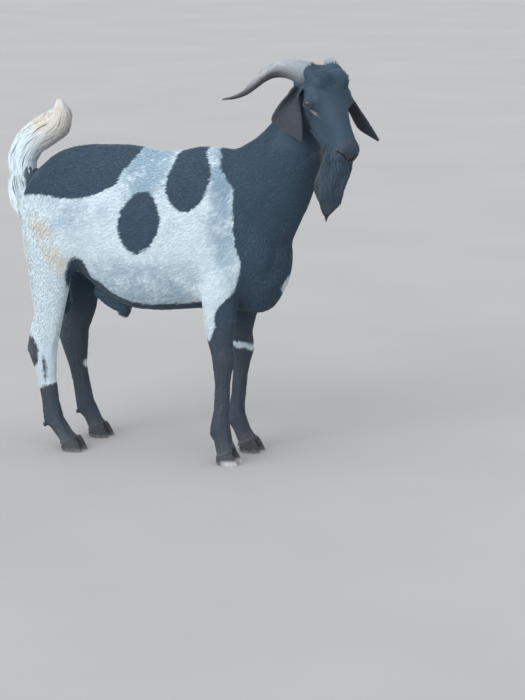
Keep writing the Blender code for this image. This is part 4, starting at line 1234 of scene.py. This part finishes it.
def makeTufts():
    sizes = tuftSizes()
    wanted = sizes[:, 3] / (sizes[:, 0] * sizes[:, 1] * 0.5)
    wanted *= np.where(skin.bare > 0.3, 0, 1)
    wanted *= np.where(skin.points[:, 2] - origin[2] < 0.016, 0, 1)
    face, weights = scatterRoots(wanted[skin.faces].min(1))
    count = len(face)
    root = cornerMix(skin.points, face, weights)
    normal = unit(cornerMix(skin.normals, face, weights))
    lie = unit(cornerMix(skin.lie, face, weights))
    size = cornerMix(sizes, face, weights)
    length = size[:, 0] * dice.uniform(0.75, 1.25, count)
    width = size[:, 1] * dice.uniform(0.75, 1.2, count)
    lift = size[:, 2] * dice.uniform(0.55, 1.10, count)
    lift = np.where(dice.uniform(0, 1, count) < 0.05, lift * 1.5, lift)  # a few strays
    sway = lowNoise(root, 150, 3) * 0.07 + dice.normal(0, 0.07, (count, 3))
    way = unit(lie + sway)
    way = unit(way - normal * (way * normal).sum(1)[:, None])
    middle, middleNormal, middleAt = onSkin(root + way * (length * tuftMiddle)[:, None], lift * 0.72)
    turn = unit(way + 0.6 * (skin.lie[middleAt] + sway))
    tip, _, tipAt = onSkin(middle + turn * (length * (1 - tuftMiddle))[:, None], lift)
    across = unit(np.cross(middleNormal, turn)) * (width / 2)[:, None]
    thick = middleNormal * np.minimum(width * 0.34, lift * 0.5)[:, None]
    # A spindle: it comes to a point in the skin and at its tip, and is widest a little before the middle
    corners = np.stack([root - normal * 0.0005, middle - across - thick * 0.4, middle + across - thick * 0.4,
                        middle + thick * 0.6, tip], 1)
    shape = np.array([(0, 2, 1), (0, 3, 2), (0, 1, 3), (1, 2, 4), (2, 3, 4), (3, 1, 4)])
    along = np.array([0, tuftMiddle, tuftMiddle, tuftMiddle, 1.0])
    uvRoot = (skin.uv[face] * weights[:, :, None]).sum(1)
    values = {name: cornerMix(getattr(skin, name), face, weights) for name in markNames}
    # The markings' edges follow the outline more than the root
    own = values["patch"]
    inMiddle = 0.4 * own + 0.6 * skin.patch[middleAt]
    values["patch"] = np.stack([own, inMiddle, inMiddle, inMiddle, 0.35 * own + 0.65 * skin.patch[tipAt]], 1)
    values["strand"] = dice.uniform(0, 1, count)
    labels = np.array([coatPieces[k][0] for k in skin.kinds[skin.faces[face, 0]]])
    for label, slot in sorted(set(coatPieces.values())):
        rows = np.flatnonzero(labels == label)
        rows = rows[np.argsort(root[rows, 0], kind="stable")]
        for part, chunk in enumerate(np.array_split(rows, math.ceil(len(rows) / mostPerPiece))):
            marks = {name: value[chunk] for name, value in values.items()}
            addTufts(f"coat{label}{part + 1}", corners[chunk], shape, along, root[chunk], uvRoot[chunk],
                     marks, slot, normal[chunk])
    print("tufts", count)


def patchAround(uvRoot, perTuft):
    # Each tuft's corners in the unwrap: a small patch at its root's place
    turns = np.arange(perTuft) * 2.4
    patch = np.stack([np.cos(turns), np.sin(turns)], 1) * 0.9 * 0.0015
    return np.clip(uvRoot[:, None, :] + patch[None], 0.001, 0.999)


def addTufts(name, corners, shape, along, root, uvRoot, values, slot, lean):
    # corners is (tufts, corners of one, 3), and shape is the triangles of one
    count, perTuft = corners.shape[:2]
    faces = (shape[None] + (np.arange(count) * perTuft)[:, None, None]).reshape(-1, 3)
    first = corners.reshape(-1, 3)[faces[: len(shape)]]
    across = np.cross(first[:, 1] - first[:, 0], first[:, 2] - first[:, 0])
    if (across * (first.mean(1) - corners[0].mean(0))).sum() < 0:
        faces = faces[:, ::-1]
    mesh = meshFrom(name, corners.reshape(-1, 3), faces)
    # The hairs take the light nearly as the skin under them does
    normals = unit(meshNormals(mesh) * 0.40 + np.repeat(lean, perTuft, 0) * 0.60)
    mesh.normals_split_custom_set_from_vertices(normals.tolist())
    for key, value in values.items():
        setAttribute(mesh, key, value.ravel() if value.ndim == 2 else np.repeat(value, perTuft))
    setAttribute(mesh, "along", np.tile(along, count))
    setAttribute(mesh, "rootPlace", np.repeat(root, perTuft, 0))
    uv = patchAround(uvRoot, perTuft).reshape(-1, 2)
    setUnwrap(mesh, uv[faces.ravel()])
    return addPiece(name, mesh, hairMaterial, slot)


hairMaterial = coatMaterial()
makeTufts()


# Long locks


def lockShape(rings):
    # The triangles of a three-sided strand: a closed root, its sides and its point
    faces = [(0, 1, 2)]
    for k in range(rings - 1):
        for c in range(3):
            a, b = 3 * k + c, 3 * k + (c + 1) % 3
            faces += [(a, a + 3, b + 3), (a, b + 3, b)]
    last, tip = 3 * (rings - 1), 3 * rings
    faces += [(last, tip, last + 1), (last + 1, tip, last + 2), (last + 2, tip, last)]
    return np.array(faces)


def addLocks(name, lines, width, outward, values, slot, *replaced):
    # lines is (locks, points, 3). Each lock is a thin three-sided strand that ends in a point.
    count, size = lines.shape[:2]
    rings = size - 1
    way = unit(np.gradient(lines, axis=1))
    flat = unit(np.cross(way, outward[:, None, :]))
    rise = np.cross(flat, way)[:, :rings]
    flat = flat[:, :rings]
    t = np.linspace(0, 1, size)[:rings]
    half = width[:, None, None] * (0.55 + 0.75 * np.sin(np.pi * np.clip(t, 0, 1) ** 0.8))[None, :, None] * 0.5
    ring = lines[:, :rings]
    corners = np.stack([ring - flat * half, ring + flat * half, ring + rise * half * 0.8], 2)
    corners = np.concatenate([corners.reshape(count, rings * 3, 3), lines[:, -1:]], 1)
    along = np.append(np.repeat(t, 3), 1.0)
    index = np.array([skinTree.find(p)[1] for p in lines[:, 0]])
    cornerUv = np.zeros((len(skin.points), 2))
    cornerUv[skin.faces.ravel()] = skin.uv.reshape(-1, 2)
    patch = values["patch"]
    if patch.ndim == 2:
        values["patch"] = np.concatenate([np.repeat(patch[:, :rings], 3, 1), patch[:, -1:]], 1)
    root, uvRoot = lines[:, 0], cornerUv[index]
    piece = addTufts(name, corners, lockShape(rings), along, root, uvRoot, values, slot, outward)
    if replaced:
        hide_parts(*replaced)


beardSettings = {
    # Level head frame, from the chin down: forward, up, half depth, half width
    "rows": [(0.050, -0.087, 0.034, 0.022), (0.050, -0.106, 0.043, 0.026), (0.048, -0.131, 0.047, 0.029),
             (0.042, -0.156, 0.045, 0.030), (0.024, -0.186, 0.046, 0.031), (0.018, -0.212, 0.042, 0.028),
             (0.017, -0.234, 0.032, 0.021), (0.009, -0.251, 0.015, 0.012), (0.004, -0.266, 0.008, 0.007),
             (0.003, -0.284, 0.003, 0.003)],
    "locks": 4600, "width": 0.0021, "points": 6, "aside": -0.004, "core": (0.038, 0, -0.17),
}


def makeBeard():
    count, size = beardSettings["locks"], beardSettings["points"]
    angle = dice.uniform(0, 2 * math.pi, count)[:, None]
    radius = np.sqrt(dice.uniform(0, 1, count))[:, None]
    end = dice.uniform(0.62, 1.0, count)[:, None] * (1.02 - 0.18 * radius)
    start = dice.uniform(0.0, 0.30, count)[:, None] * radius
    t = start + np.linspace(0, 1, size)[None] * (end - start)
    forward, up, depth, breadth = np.moveaxis(alongRows(beardSettings["rows"], t), -1, 0)
    wave = 0.10 * np.sin(t * 9 + angle * 3) + 0.06 * np.sin(t * 23 + radius * 40)
    swirl = angle + wave
    spread = radius * (1 + 0.10 * np.sin(t * 14 + angle * 5))
    aside = np.sin(swirl) * spread * breadth + beardSettings["aside"]
    local = np.stack([forward + np.cos(swirl) * spread * depth, aside, up], -1)
    lines = placed(levelHead, local.reshape(-1, 3)).reshape(count, size, 3)
    outward = unit(lines[:, 3] - placed(levelHead, np.array([beardSettings["core"]])))
    width = beardSettings["width"] * dice.uniform(0.6, 1.2, count)
    values = {"patch": np.full(count, 0.5), "ticking": np.zeros(count), "tan": np.zeros(count),
              "brown": np.clip(dice.normal(0.05, 0.2, count), 0, 1), "strand": dice.uniform(0, 0.6, count)}
    addLocks("beardLocks", lines, width, outward, values, "coat_black", "beard")


tailSettings = {
    # Body coordinates: forward, up, half depth, half width, from the root to the tip
    "rows": [(-0.440, 0.640, 0.026, 0.024), (-0.478, 0.646, 0.030, 0.027), (-0.502, 0.668, 0.034, 0.030),
             (-0.502, 0.705, 0.036, 0.032), (-0.480, 0.743, 0.036, 0.032), (-0.442, 0.770, 0.038, 0.032),
             (-0.407, 0.791, 0.037, 0.030), (-0.395, 0.818, 0.028, 0.022), (-0.400, 0.846, 0.011, 0.010)],
    "fringeRows": [(-0.492, 0.712, 0.026, 0.022), (-0.502, 0.662, 0.036, 0.032),
                   (-0.504, 0.628, 0.036, 0.034), (-0.502, 0.596, 0.033, 0.030),
                   (-0.498, 0.566, 0.024, 0.021), (-0.494, 0.534, 0.006, 0.006)],
    "locks": 5200, "fringe": 1500, "width": 0.0019, "points": 6, "pastEnd": 0.17,
    "rootSpot": ((-0.466, -0.030, 0.664), 0.023),  # black, with its radius
}


def makeTail():
    tailRows = tailSettings["rows"]
    count, size = tailSettings["locks"], tailSettings["points"]
    start = dice.uniform(0.05, 0.90, count)[:, None]
    span = dice.uniform(0.18, 0.34, count)[:, None]
    angle = dice.uniform(0, 2 * math.pi, count)[:, None]
    t = start + np.linspace(0, 1, size)[None] * span
    forward, up, depth, breadth = np.moveaxis(alongRows(tailRows, t), -1, 0)
    ahead = alongRows(tailRows, np.minimum(t + 0.03, 1)) - alongRows(tailRows, np.maximum(t - 0.03, 0))
    along = unit(ahead[..., :2])
    past = np.maximum(t - 1, 0) * tailSettings["pastEnd"]  # tips that run on past the last row
    bulge = np.sin(np.linspace(0, 1, size) * math.pi * 0.62)[None]
    grow = 0.76 + 0.24 * bulge * dice.uniform(0.70, 1.10, count)[:, None]
    swirl = angle + 0.06 * np.sin(t * 14 + np.round(angle * 3) * 2.1) + 0.03 * np.sin(t * 31 + angle * 9)
    grow *= 1 - ramp(t, 0.86, 1.08) * dice.uniform(0.5, 1.15, count)[:, None]  # the tip closes in a wisp
    out = np.cos(swirl) * grow * depth
    local = np.stack([forward + along[..., 1] * out + along[..., 0] * past, np.sin(swirl) * grow * breadth,
                      up - along[..., 0] * out + along[..., 1] * past], -1)
    lines = local + origin
    spine = np.stack([forward[:, 3], np.zeros(count), up[:, 3]], 1) + origin
    outward = unit(lines[:, 3] - spine)
    centre, radius = tailSettings["rootSpot"]
    spot = radius - np.linalg.norm((local - np.array(centre)) / (1, 1.3, 1), axis=2)
    strand = dice.uniform(0, 1, count)
    tan = np.clip(ramp(start[:, 0], 0.32, 0.50) * 1.3 + dice.normal(0.08, 0.08, count), 0, 1)
    values = {"patch": spot, "ticking": np.full(count, 0.12), "strand": strand, "tan": tan,
              "brown": np.zeros(count)}
    width = tailSettings["width"] * dice.uniform(0.6, 1.3, count)
    addLocks("tailLocks", lines, width, outward, values, "coat_white")


def makeFringe():
    # The hair that hangs from under the tail's root
    count, size = tailSettings["fringe"], tailSettings["points"]
    angle = dice.uniform(0, 2 * math.pi, count)[:, None]
    radius = np.sqrt(dice.uniform(0.1, 1, count))[:, None]
    start = dice.uniform(0.0, 0.4, count)[:, None]
    end = dice.uniform(0.65, 1.0, count)[:, None]
    t = start + np.linspace(0, 1, size)[None] * (end - start)
    forward, up, depth, breadth = np.moveaxis(alongRows(tailSettings["fringeRows"], t), -1, 0)
    swirl = angle + 0.2 * np.sin(t * 12 + angle * 3)
    local = np.stack([forward + np.cos(swirl) * radius * depth, np.sin(swirl) * radius * breadth, up], -1)
    outward = np.concatenate([np.cos(angle), np.sin(angle), np.zeros((count, 1))], 1)
    strand = dice.uniform(0, 1, count)
    tan = np.clip(dice.normal(0.1, 0.1, count), 0, 1)
    values = {"patch": np.full(count, -0.5), "ticking": np.full(count, 0.12), "strand": strand, "tan": tan,
              "brown": np.zeros(count)}
    width = tailSettings["width"] * dice.uniform(0.6, 1.2, count)
    addLocks("tailFringe", local + origin, width, outward, values, "coat_white")


def growLocks(name, chosen, count, length, width, lift, droop, **marks):
    # Longer hair that grows from a part of the skin: chosen is a weight for each of its points
    area = faceAreas()
    share = area * chosen[skin.faces].min(1)
    face, weights = scatterRoots(share / area / share.sum() * count)
    count = len(face)
    root = cornerMix(skin.points, face, weights)
    normal = unit(cornerMix(skin.normals, face, weights))
    way = unit(cornerMix(skin.lie, face, weights) + dice.normal(0, 0.12, (count, 3)))
    steps = 4
    stride = (length * dice.uniform(0.65, 1.15, count) / steps)[:, None]
    lines = [root - normal * 0.001]
    heading = unit(way + normal * lift)
    for _ in range(steps):
        lines.append(lines[-1] + heading * stride)
        heading = unit(heading + np.array([0, 0, -1.0]) * droop / steps + way * 0.05)
        height = ((lines[-1] - root) * normal).sum(1)
        lines[-1] += normal * np.maximum(0.0012 - height, 0)[:, None]
    values = {"strand": dice.uniform(0, 1, count)}
    for key in markNames:
        grown = np.full(count, marks[key]) if key in marks else cornerMix(getattr(skin, key), face, weights)
        values[key] = grown
    width = width * dice.uniform(0.7, 1.2, count)
    addLocks(name, np.stack(lines, 1), width, normal, values, "coat_black")


lockSettings = {  # how many, their length and width, how far they stand off and how much they droop
    "crownLocks": (1700, 0.017, 0.0015, 0.15, 0.3), "sheathLocks": (170, 0.015, 0.0015, 0.1, 1.4),
    "jawLocks": (1700, 0.030, 0.0017, 0.04, 0.7), "coronetLocks": (1300, 0.0115, 0.0015, 0.25, 0.3),
}


def makeTopknot():
    # The thicker hair on the crown between the horns, falling a little over the brow
    q = (skin.head - np.array((-0.032, 0.0, 0.050))) / np.array((0.045, 0.035, 0.030))
    chosen = np.where(skin.kinds == "head", ramp(np.linalg.norm(q, axis=1), 1.15, 0.75), 0)
    growLocks("crownLocks", chosen, *lockSettings["crownLocks"], patch=0.5, ticking=0.0)


def makeSheathTuft():
    # At the sheath's tip, the lowest place under the middle of the belly
    p = skin.points - origin
    under = (skin.kinds == "trunk") & (np.abs(p[:, 1]) < 0.03) & (p[:, 0] > -0.24) & (p[:, 0] < -0.10)
    tip = p[under][p[under][:, 2].argmin()]
    chosen = ramp(np.linalg.norm((p - tip) / 0.016, axis=1), 1.1, 0.6)
    growLocks("sheathLocks", chosen, *lockSettings["sheathLocks"], patch=0.5, ticking=0.0)


def makeJawHair():
    # Longer hair along the underside of the jaw, running into the beard
    h = skin.head
    chosen = ramp(h[:, 2], -0.050, -0.064) * ramp(h[:, 0], 0.036, 0.065) * ramp(h[:, 0], 0.128, 0.112)
    chosen *= skin.kinds == "head"
    growLocks("jawLocks", chosen, *lockSettings["jawLocks"], patch=0.5, ticking=0.0, brown=0.0)


hoofNames = sorted(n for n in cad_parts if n.startswith("hoof_"))


def makeCoronetHair():
    # The short fringe that falls over the top of each hoof
    points, faces, _ = nodeMesh(hoofNames)
    tree = BVHTree.FromPolygons(points.tolist(), faces.tolist())
    low = np.flatnonzero((skin.points[:, 2] < 0.075) & np.isin(skin.kinds, ["forefoot", "hindfoot"]))
    chosen = np.zeros(len(skin.points))
    for k in low:
        distance = tree.find_nearest(Vector(skin.points[k]))[3]
        chosen[k] = ramp(distance, 0.010, 0.004) * ramp(skin.normals[k, 2], -0.6, -0.2)
    growLocks("coronetLocks", chosen, *lockSettings["coronetLocks"])


makeBeard()
makeTail()
makeFringe()
makeTopknot()
makeSheathTuft()
makeJawHair()
makeCoronetHair()
print("locks done")


# Eyes


def eyeMaterial():
    # A level slit of a pupil in a brown iris, wet all over
    finish = {"Roughness": 0.12, "Coat_Weight": 1.0, "Coat_Roughness": 0.03, "Specular_IOR_Level": 0.6}
    material, g, shader = newMaterial("wetEye", **finish)
    flat = g.parts(g.attribute("irisPlace", "Vector"))
    u, v = flat["X"], flat["Y"]
    r = g.math("SQRT", g.math("ADD", g.times(u, u), g.times(v, v)))
    streaks = g.noise(g.joined(g.times(g.math("ARCTAN2", v, u), 9.0), g.times(r, 3.0), 0.0), 2.2, 4, 0.65)
    iris = g.mix(g.step(streaks, 0.3, 0.7), (0.012, 0.010, 0.009, 1), (0.030, 0.022, 0.016, 1))
    iris = g.mix(g.step(r, 0.36, 0.60), iris, (0.010, 0.006, 0.004, 1))
    colour = g.mix(g.step(r, 0.60, 0.70), iris, (0.030, 0.022, 0.020, 1))
    wide = g.math("ABSOLUTE", u)
    bow = g.times(g.math("POWER", wide, 3.0), -1.0)
    tall = g.math("ADD", g.math("ABSOLUTE", v), g.times(bow, 0.3))
    slit = g.times(g.step(tall, 0.145, 0.115), g.step(wide, 0.42, 0.37))
    g.feed(shader, "Base Color", g.mix(slit, colour, (0.003, 0.003, 0.004, 1)))
    return material


def makeEyes():
    material = eyeMaterial()
    segments, rings = eyeSettings["segments"], eyeSettings["rings"]
    polar = np.linspace(0, math.pi, rings + 1)
    turn = np.arange(segments) * 2 * math.pi / segments
    # The cornea stands out a little ahead of the pupil
    radius = eyeSettings["radius"] - 0.0005 + eyeSettings["bulge"] * ramp(polar, 0.78, 0.30)
    for side in sides:
        gaze, long, _ = eyeAxes(side)
        gaze, long = placed(headFrame.to_3x3().to_4x4(), [gaze, long])
        # The pupil is level, and the lids aren't
        level = unit(np.cross(np.array([0, 0, 1.0]), gaze))
        long = level if level @ long > 0 else -level
        up = np.cross(gaze, long)
        points, flat = [], []
        for a, r in zip(polar[1:-1], radius[1:-1]):
            for b in turn:
                u, v = math.sin(a) * math.cos(b), math.sin(a) * math.sin(b)
                points.append(r * (gaze * math.cos(a) + long * u + up * v))
                flat.append((u, v, 0))
        points += [gaze * radius[0], -gaze * radius[-1]]
        flat += [(0, 0, 0), (0, 0, 0)]
        faces = []
        for i in range(rings - 2):
            for k in range(segments):
                a, b = i * segments + k, i * segments + (k + 1) % segments
                faces.append((a, a + segments, b + segments, b))
        front, back, low = len(points) - 2, len(points) - 1, (rings - 2) * segments
        faces += [(front, k, (k + 1) % segments) for k in range(segments)]
        faces += [(back, low + (k + 1) % segments, low + k) for k in range(segments)]
        centre = np.array(eyeCentres[side])
        name = f"eyeball{side.capitalize()}"
        mesh = bpy.data.meshes.new(name)
        mesh.from_pydata([tuple(centre + p) for p in points], [], faces)
        bm = bmesh.new()
        bm.from_mesh(mesh)
        bmesh.ops.recalc_face_normals(bm, faces=bm.faces)
        bm.to_mesh(mesh)
        bm.free()
        setAttribute(mesh, "irisPlace", flat)
        addPiece(name, mesh, material, "eye", f"eye_{side}")


makeEyes()


# Horns

hornSettings = {
    # Level head frame: forward, sideways, up, half breadth, half thickness, twist in degrees
    "rows": [(-0.022, 0.028, 0.054, 0.0210, 0.0130, 0), (-0.040, 0.038, 0.062, 0.0285, 0.0178, 0),
             (-0.076, 0.052, 0.069, 0.0232, 0.0160, 8), (-0.104, 0.065, 0.068, 0.0193, 0.0138, 18),
             (-0.124, 0.080, 0.061, 0.0162, 0.0115, 28), (-0.138, 0.096, 0.047, 0.0134, 0.0095, 36),
             (-0.149, 0.113, 0.028, 0.0102, 0.0074, 44), (-0.159, 0.128, 0.012, 0.0066, 0.0052, 50),
             (-0.174, 0.148, 0.001, 0.0042, 0.0036, 50), (-0.196, 0.168, -0.005, 0.0014, 0.0014, 50)],
    "rings": 150, "round": 44, "squareness": 2.2, "growthRings": 26, "ringDepth": 0.0007,
}


def throughRows(rows, count):
    # A smooth run through the rows, as Catmull-Rom
    rows = np.asarray(rows, float)
    padded = np.concatenate([[2 * rows[0] - rows[1]], rows, [2 * rows[-1] - rows[-2]]])
    out = []
    for at in np.linspace(0, len(rows) - 1, count):
        k = min(int(at), len(rows) - 2)
        t = at - k
        a, b, c, d = padded[k:k + 4]
        bend = (2 * a - 5 * b + 4 * c - d) * t * t + (3 * b - a - 3 * c + d) * t ** 3
        out.append(0.5 * (2 * b + (c - a) * t + bend))
    return np.array(out)


def hornMaterial():
    material, g, shader = newMaterial("ringedHorn", Roughness=0.5, Specular_IOR_Level=0.45)
    place = g.parts(g.attribute("hornPlace", "Vector"))
    along, ringHeight = place["X"], place["Z"]
    turn = g.times(place["Y"], 2 * math.pi)
    about = [g.times(g.math(way, turn), 3.2) for way in ("COSINE", "SINE")]
    grain = g.joined(g.times(along, 7.0), *about)
    streaks = g.noise(grain, 1.6, 5, 0.65)
    stains = g.noise(g.objectPlace(), 60, 4, 0.6)
    body = g.mix(g.step(streaks, 0.3, 0.75), (0.31, 0.325, 0.345, 1), (0.43, 0.435, 0.45, 1))
    body = g.mix(g.step(stains, 0.45, 0.75, (0, 0.55)), body, (0.16, 0.15, 0.15, 1))
    # Dirt between the rings, dark at the root and over the tip, and painted shade on the underside
    dirt = g.times(g.step(ringHeight, 0.35, 0.0, (0, 0.14)), g.step(stains, 0.25, 0.7))
    body = g.mix(dirt, body, (0.14, 0.14, 0.145, 1))
    body = g.mix(g.step(along, 0.32, 0.08, (0, 0.75)), body, (0.20, 0.235, 0.275, 1))
    # Painted shade where the horn faces down
    under = g.times(g.attribute("underside"), g.step(along, 0.05, 0.40, (0.55, 1.0)))
    body = g.mix(under, body, (0.050, 0.052, 0.058, 1))
    body = g.mix(g.step(along, 0.52, 0.84, (0, 0.90)), body, (0.036, 0.039, 0.046, 1))
    g.feed(shader, "Base Color", body)
    g.feed(shader, "Roughness", g.step(stains, 0.2, 0.8, (0.38, 0.62)))
    g.bump(shader, g.math("ADD", streaks, g.times(stains, 0.5)), 0.5, 0.0006)
    return material


def hornRing(here, after, s, t, number):
    # One ring of the horn's surface, and what its material reads there
    at = Vector((here[0], s * here[1], here[2]))
    along = (Vector((after[0], s * after[1], after[2])) - at).normalized()
    across = along.cross(Vector((0, s, 0.25))).normalized()
    across = Matrix.Rotation(math.radians(s * here[5]), 3, along) @ across
    flat = along.cross(across).normalized()
    power = 2 / hornSettings["squareness"]
    ring, place = [], []
    for j in range(hornSettings["round"]):
        angle = 2 * math.pi * j / hornSettings["round"]
        c, n = math.cos(angle), math.sin(angle)
        # Rings of growth, closer and shallower toward the tip, strongest on the front edge
        turns = hornSettings["growthRings"] * (t ** 0.92) * 2 * math.pi
        ridge = 0.5 + 0.5 * math.cos(turns + 0.5 * math.sin(angle * 2 + number * 0.05))
        deep = hornSettings["ringDepth"] * max(0.0, 1 - t * 1.12) * (0.62 + 0.38 * n)
        swell = 1 + (ridge ** 0.7 - 0.6) * deep / max(here[4], 0.003) + 0.012 * math.sin(angle * 5 + t * 8)
        x = here[4] * math.copysign(abs(c) ** power, c) * swell
        y = here[3] * math.copysign(abs(n) ** power, n) * swell
        ring.append(levelHead @ (at + flat * x + across * y))
        place.append((t, j / hornSettings["round"], ridge if t < 0.85 else 0.6))
    return ring, place


def makeHorns():
    material = hornMaterial()
    count = hornSettings["rings"]
    for side, s in sides.items():
        rows = throughRows(hornSettings["rows"], count)
        ends = [*rows[1:], 2 * rows[-1] - rows[-2]]
        made = [hornRing(rows[k], ends[k], s, k / (count - 1), k) for k in range(count)]
        name = f"hornRinged{side.capitalize()}"
        mesh = ringedMesh(name, [ring for ring, _ in made])
        setAttribute(mesh, "hornPlace", np.concatenate([place for _, place in made]))
        # How much painted shade each point of the horn takes, from how far its normal faces down
        setAttribute(mesh, "underside", ramp(-meshNormals(mesh)[:, 2], -0.40, 0.20))
        addPiece(name, mesh, material, "horn", f"horn_{side}")


makeHorns()


# Hooves

hoofSettings = {"lineHeight": 0.00028, "linesApart": 0.0042, "paleFoot": "fore_right"}


def hoofMaterial():
    material, g, shader = newMaterial("hoofHorn", Specular_IOR_Level=0.4)
    place = g.objectPlace()
    streaks = g.noise(g.vector("MULTIPLY", n0=place, n1=(1.0, 1.0, 0.18))[0], 420, 4, 0.65)
    lines = g.noise(g.vector("MULTIPLY", n0=place, n1=(0.10, 0.10, 1.0))[0], 520, 3, 0.6)
    streaked = g.step(streaks, 0.3, 0.7)
    colour = g.mix(streaked, (0.018, 0.023, 0.028, 1), (0.060, 0.067, 0.073, 1))
    colour = g.mix(g.step(lines, 0.45, 0.75, (0, 0.3)), colour, (0.12, 0.13, 0.14, 1))
    pale = g.mix(streaked, (0.50, 0.50, 0.50, 1), (0.66, 0.67, 0.68, 1))
    colour = g.mix(g.attribute("pale"), colour, pale)
    dust = g.step(g.timesPlus(g.noise(place, 160, 4), 0.016, g.parts(place)["Z"]), 0.019, 0.010)
    colour = g.mix(g.times(dust, 0.35), colour, (0.36, 0.32, 0.29, 1))
    g.feed(shader, "Base Color", colour)
    g.feed(shader, "Roughness", g.step(streaks, 0.2, 0.8, (0.45, 0.7)))
    g.bump(shader, g.math("ADD", streaks, lines), 0.6, 0.0005)
    return material


def smoothClaw(name):
    # The claw's solid, rounded between its levels, with its sharp edges kept
    bm = bmesh.new()
    bm.from_mesh(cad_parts[name].data)
    bmesh.ops.remove_doubles(bm, verts=bm.verts, dist=1e-5)
    bmesh.ops.dissolve_limit(bm, angle_limit=math.radians(2), verts=bm.verts, edges=bm.edges)
    crease = bm.edges.layers.float.new("crease_edge")
    for edge in bm.edges:
        sharp = len(edge.link_faces) == 2 and edge.calc_face_angle() > math.radians(48)
        edge[crease] = 0.9 if sharp else 0.0
    piece = bpy.data.objects.new("work", meshOf(name, bm))
    scene.collection.objects.link(piece)
    rounded = piece.modifiers.new("rounded", "SUBSURF")
    rounded.levels = rounded.render_levels = 3
    mesh = evaluated(piece)
    bpy.data.objects.remove(piece)
    mesh.materials.clear()
    return mesh


def makeHooves():
    # Growth lines round each claw, and a flat sole
    material = hoofMaterial()
    for name in hoofNames:
        mesh = smoothClaw(name)
        co, _ = meshArrays(mesh)
        normals = meshNormals(mesh)
        z = co[:, 2] - co[:, 2].min()
        turns = z * 2 * math.pi / hoofSettings["linesApart"]
        lines = hoofSettings["lineHeight"] * np.sin(turns + 0.8 * np.sin(co[:, 0] * 180))
        wall = ramp(np.abs(normals[:, 2]), 0.8, 0.5) * ramp(z, 0.001, 0.004)
        co += normals * (lines * wall)[:, None]
        co[:, 2] = np.where(co[:, 2] < co[:, 2].min() + 0.0002, 0.0, co[:, 2])
        setPoints(mesh, co)
        worn = 0.85 * ramp(z, 0.017, 0.006) * ramp(co[:, 0] - co[:, 0].min(), 0.010, 0.030)
        setAttribute(mesh, "pale", worn if hoofSettings["paleFoot"] in name else np.zeros(len(co)))
        label = "claw" + "".join(word.capitalize() for word in name.split("_")[1:])
        addPiece(label, mesh, material, "hoof", name)


makeHooves()


dewclawSettings = {"length": 0.0078, "half": 0.0056, "apart": 0.0115, "rings": 9, "round": 18}


def makeDewclaws():
    # Small blunt claws at the back of each fetlock, each a bent cone of rounded rings
    material = hoofMaterial()
    rings = dewclawSettings["rings"]
    turn = np.arange(dewclawSettings["round"]) * 2 * math.pi / dewclawSettings["round"]
    for name, place in dewclawPlaces.items():
        for label, s in (("A", 1), ("B", -1)):
            middle = np.array(place) + (0, s * dewclawSettings["apart"], 0) + origin
            start = np.array(skinTree.find(middle)[0]) * 0.6 + middle * 0.4
            way = unit(np.array((-0.30, 0.15 * s, -0.95)))
            side = unit(np.cross(way, (0, 0, 1.0)))
            up = np.cross(side, way)
            loops = []
            for k in range(rings):
                t = k / (rings - 1)
                blunt = math.sqrt(max(1 - t ** 2.6, 0.03)) * (1 - 0.2 * t) * (1 + 0.03 * math.sin(t * 22))
                r = dewclawSettings["half"] * blunt
                centre = start + way * (t * dewclawSettings["length"] - 0.003) - up * (0.0025 * t * t)
                wide, high = side * r * 1.05, up * r * 0.8
                loops.append([centre + wide * math.cos(a) + high * math.sin(a) for a in turn])
            piece = f"dewclaw{name}{label}"
            addPiece(piece, ringedMesh(piece, loops), material, "hoof")


makeDewclaws()
print("eyes, horns and hooves done")


# Floor


def makeFloor():
    bm = bmesh.new()
    bmesh.ops.create_grid(bm, x_segments=8, y_segments=8, size=60)
    mesh = meshOf("floor", bm)
    floor = bpy.data.objects.new("floor", mesh)
    scene.collection.objects.link(floor)
    material, g, shader = newMaterial("paleFloor", Roughness=0.9, Specular_IOR_Level=0.2)
    soft = g.step(g.noise(g.objectPlace(), 1.4, 3), 0.3, 0.7)
    g.feed(shader, "Base Color", g.mix(soft, (0.425, 0.405, 0.395, 1), (0.445, 0.425, 0.415, 1)))
    mesh.materials.append(material)


makeFloor()
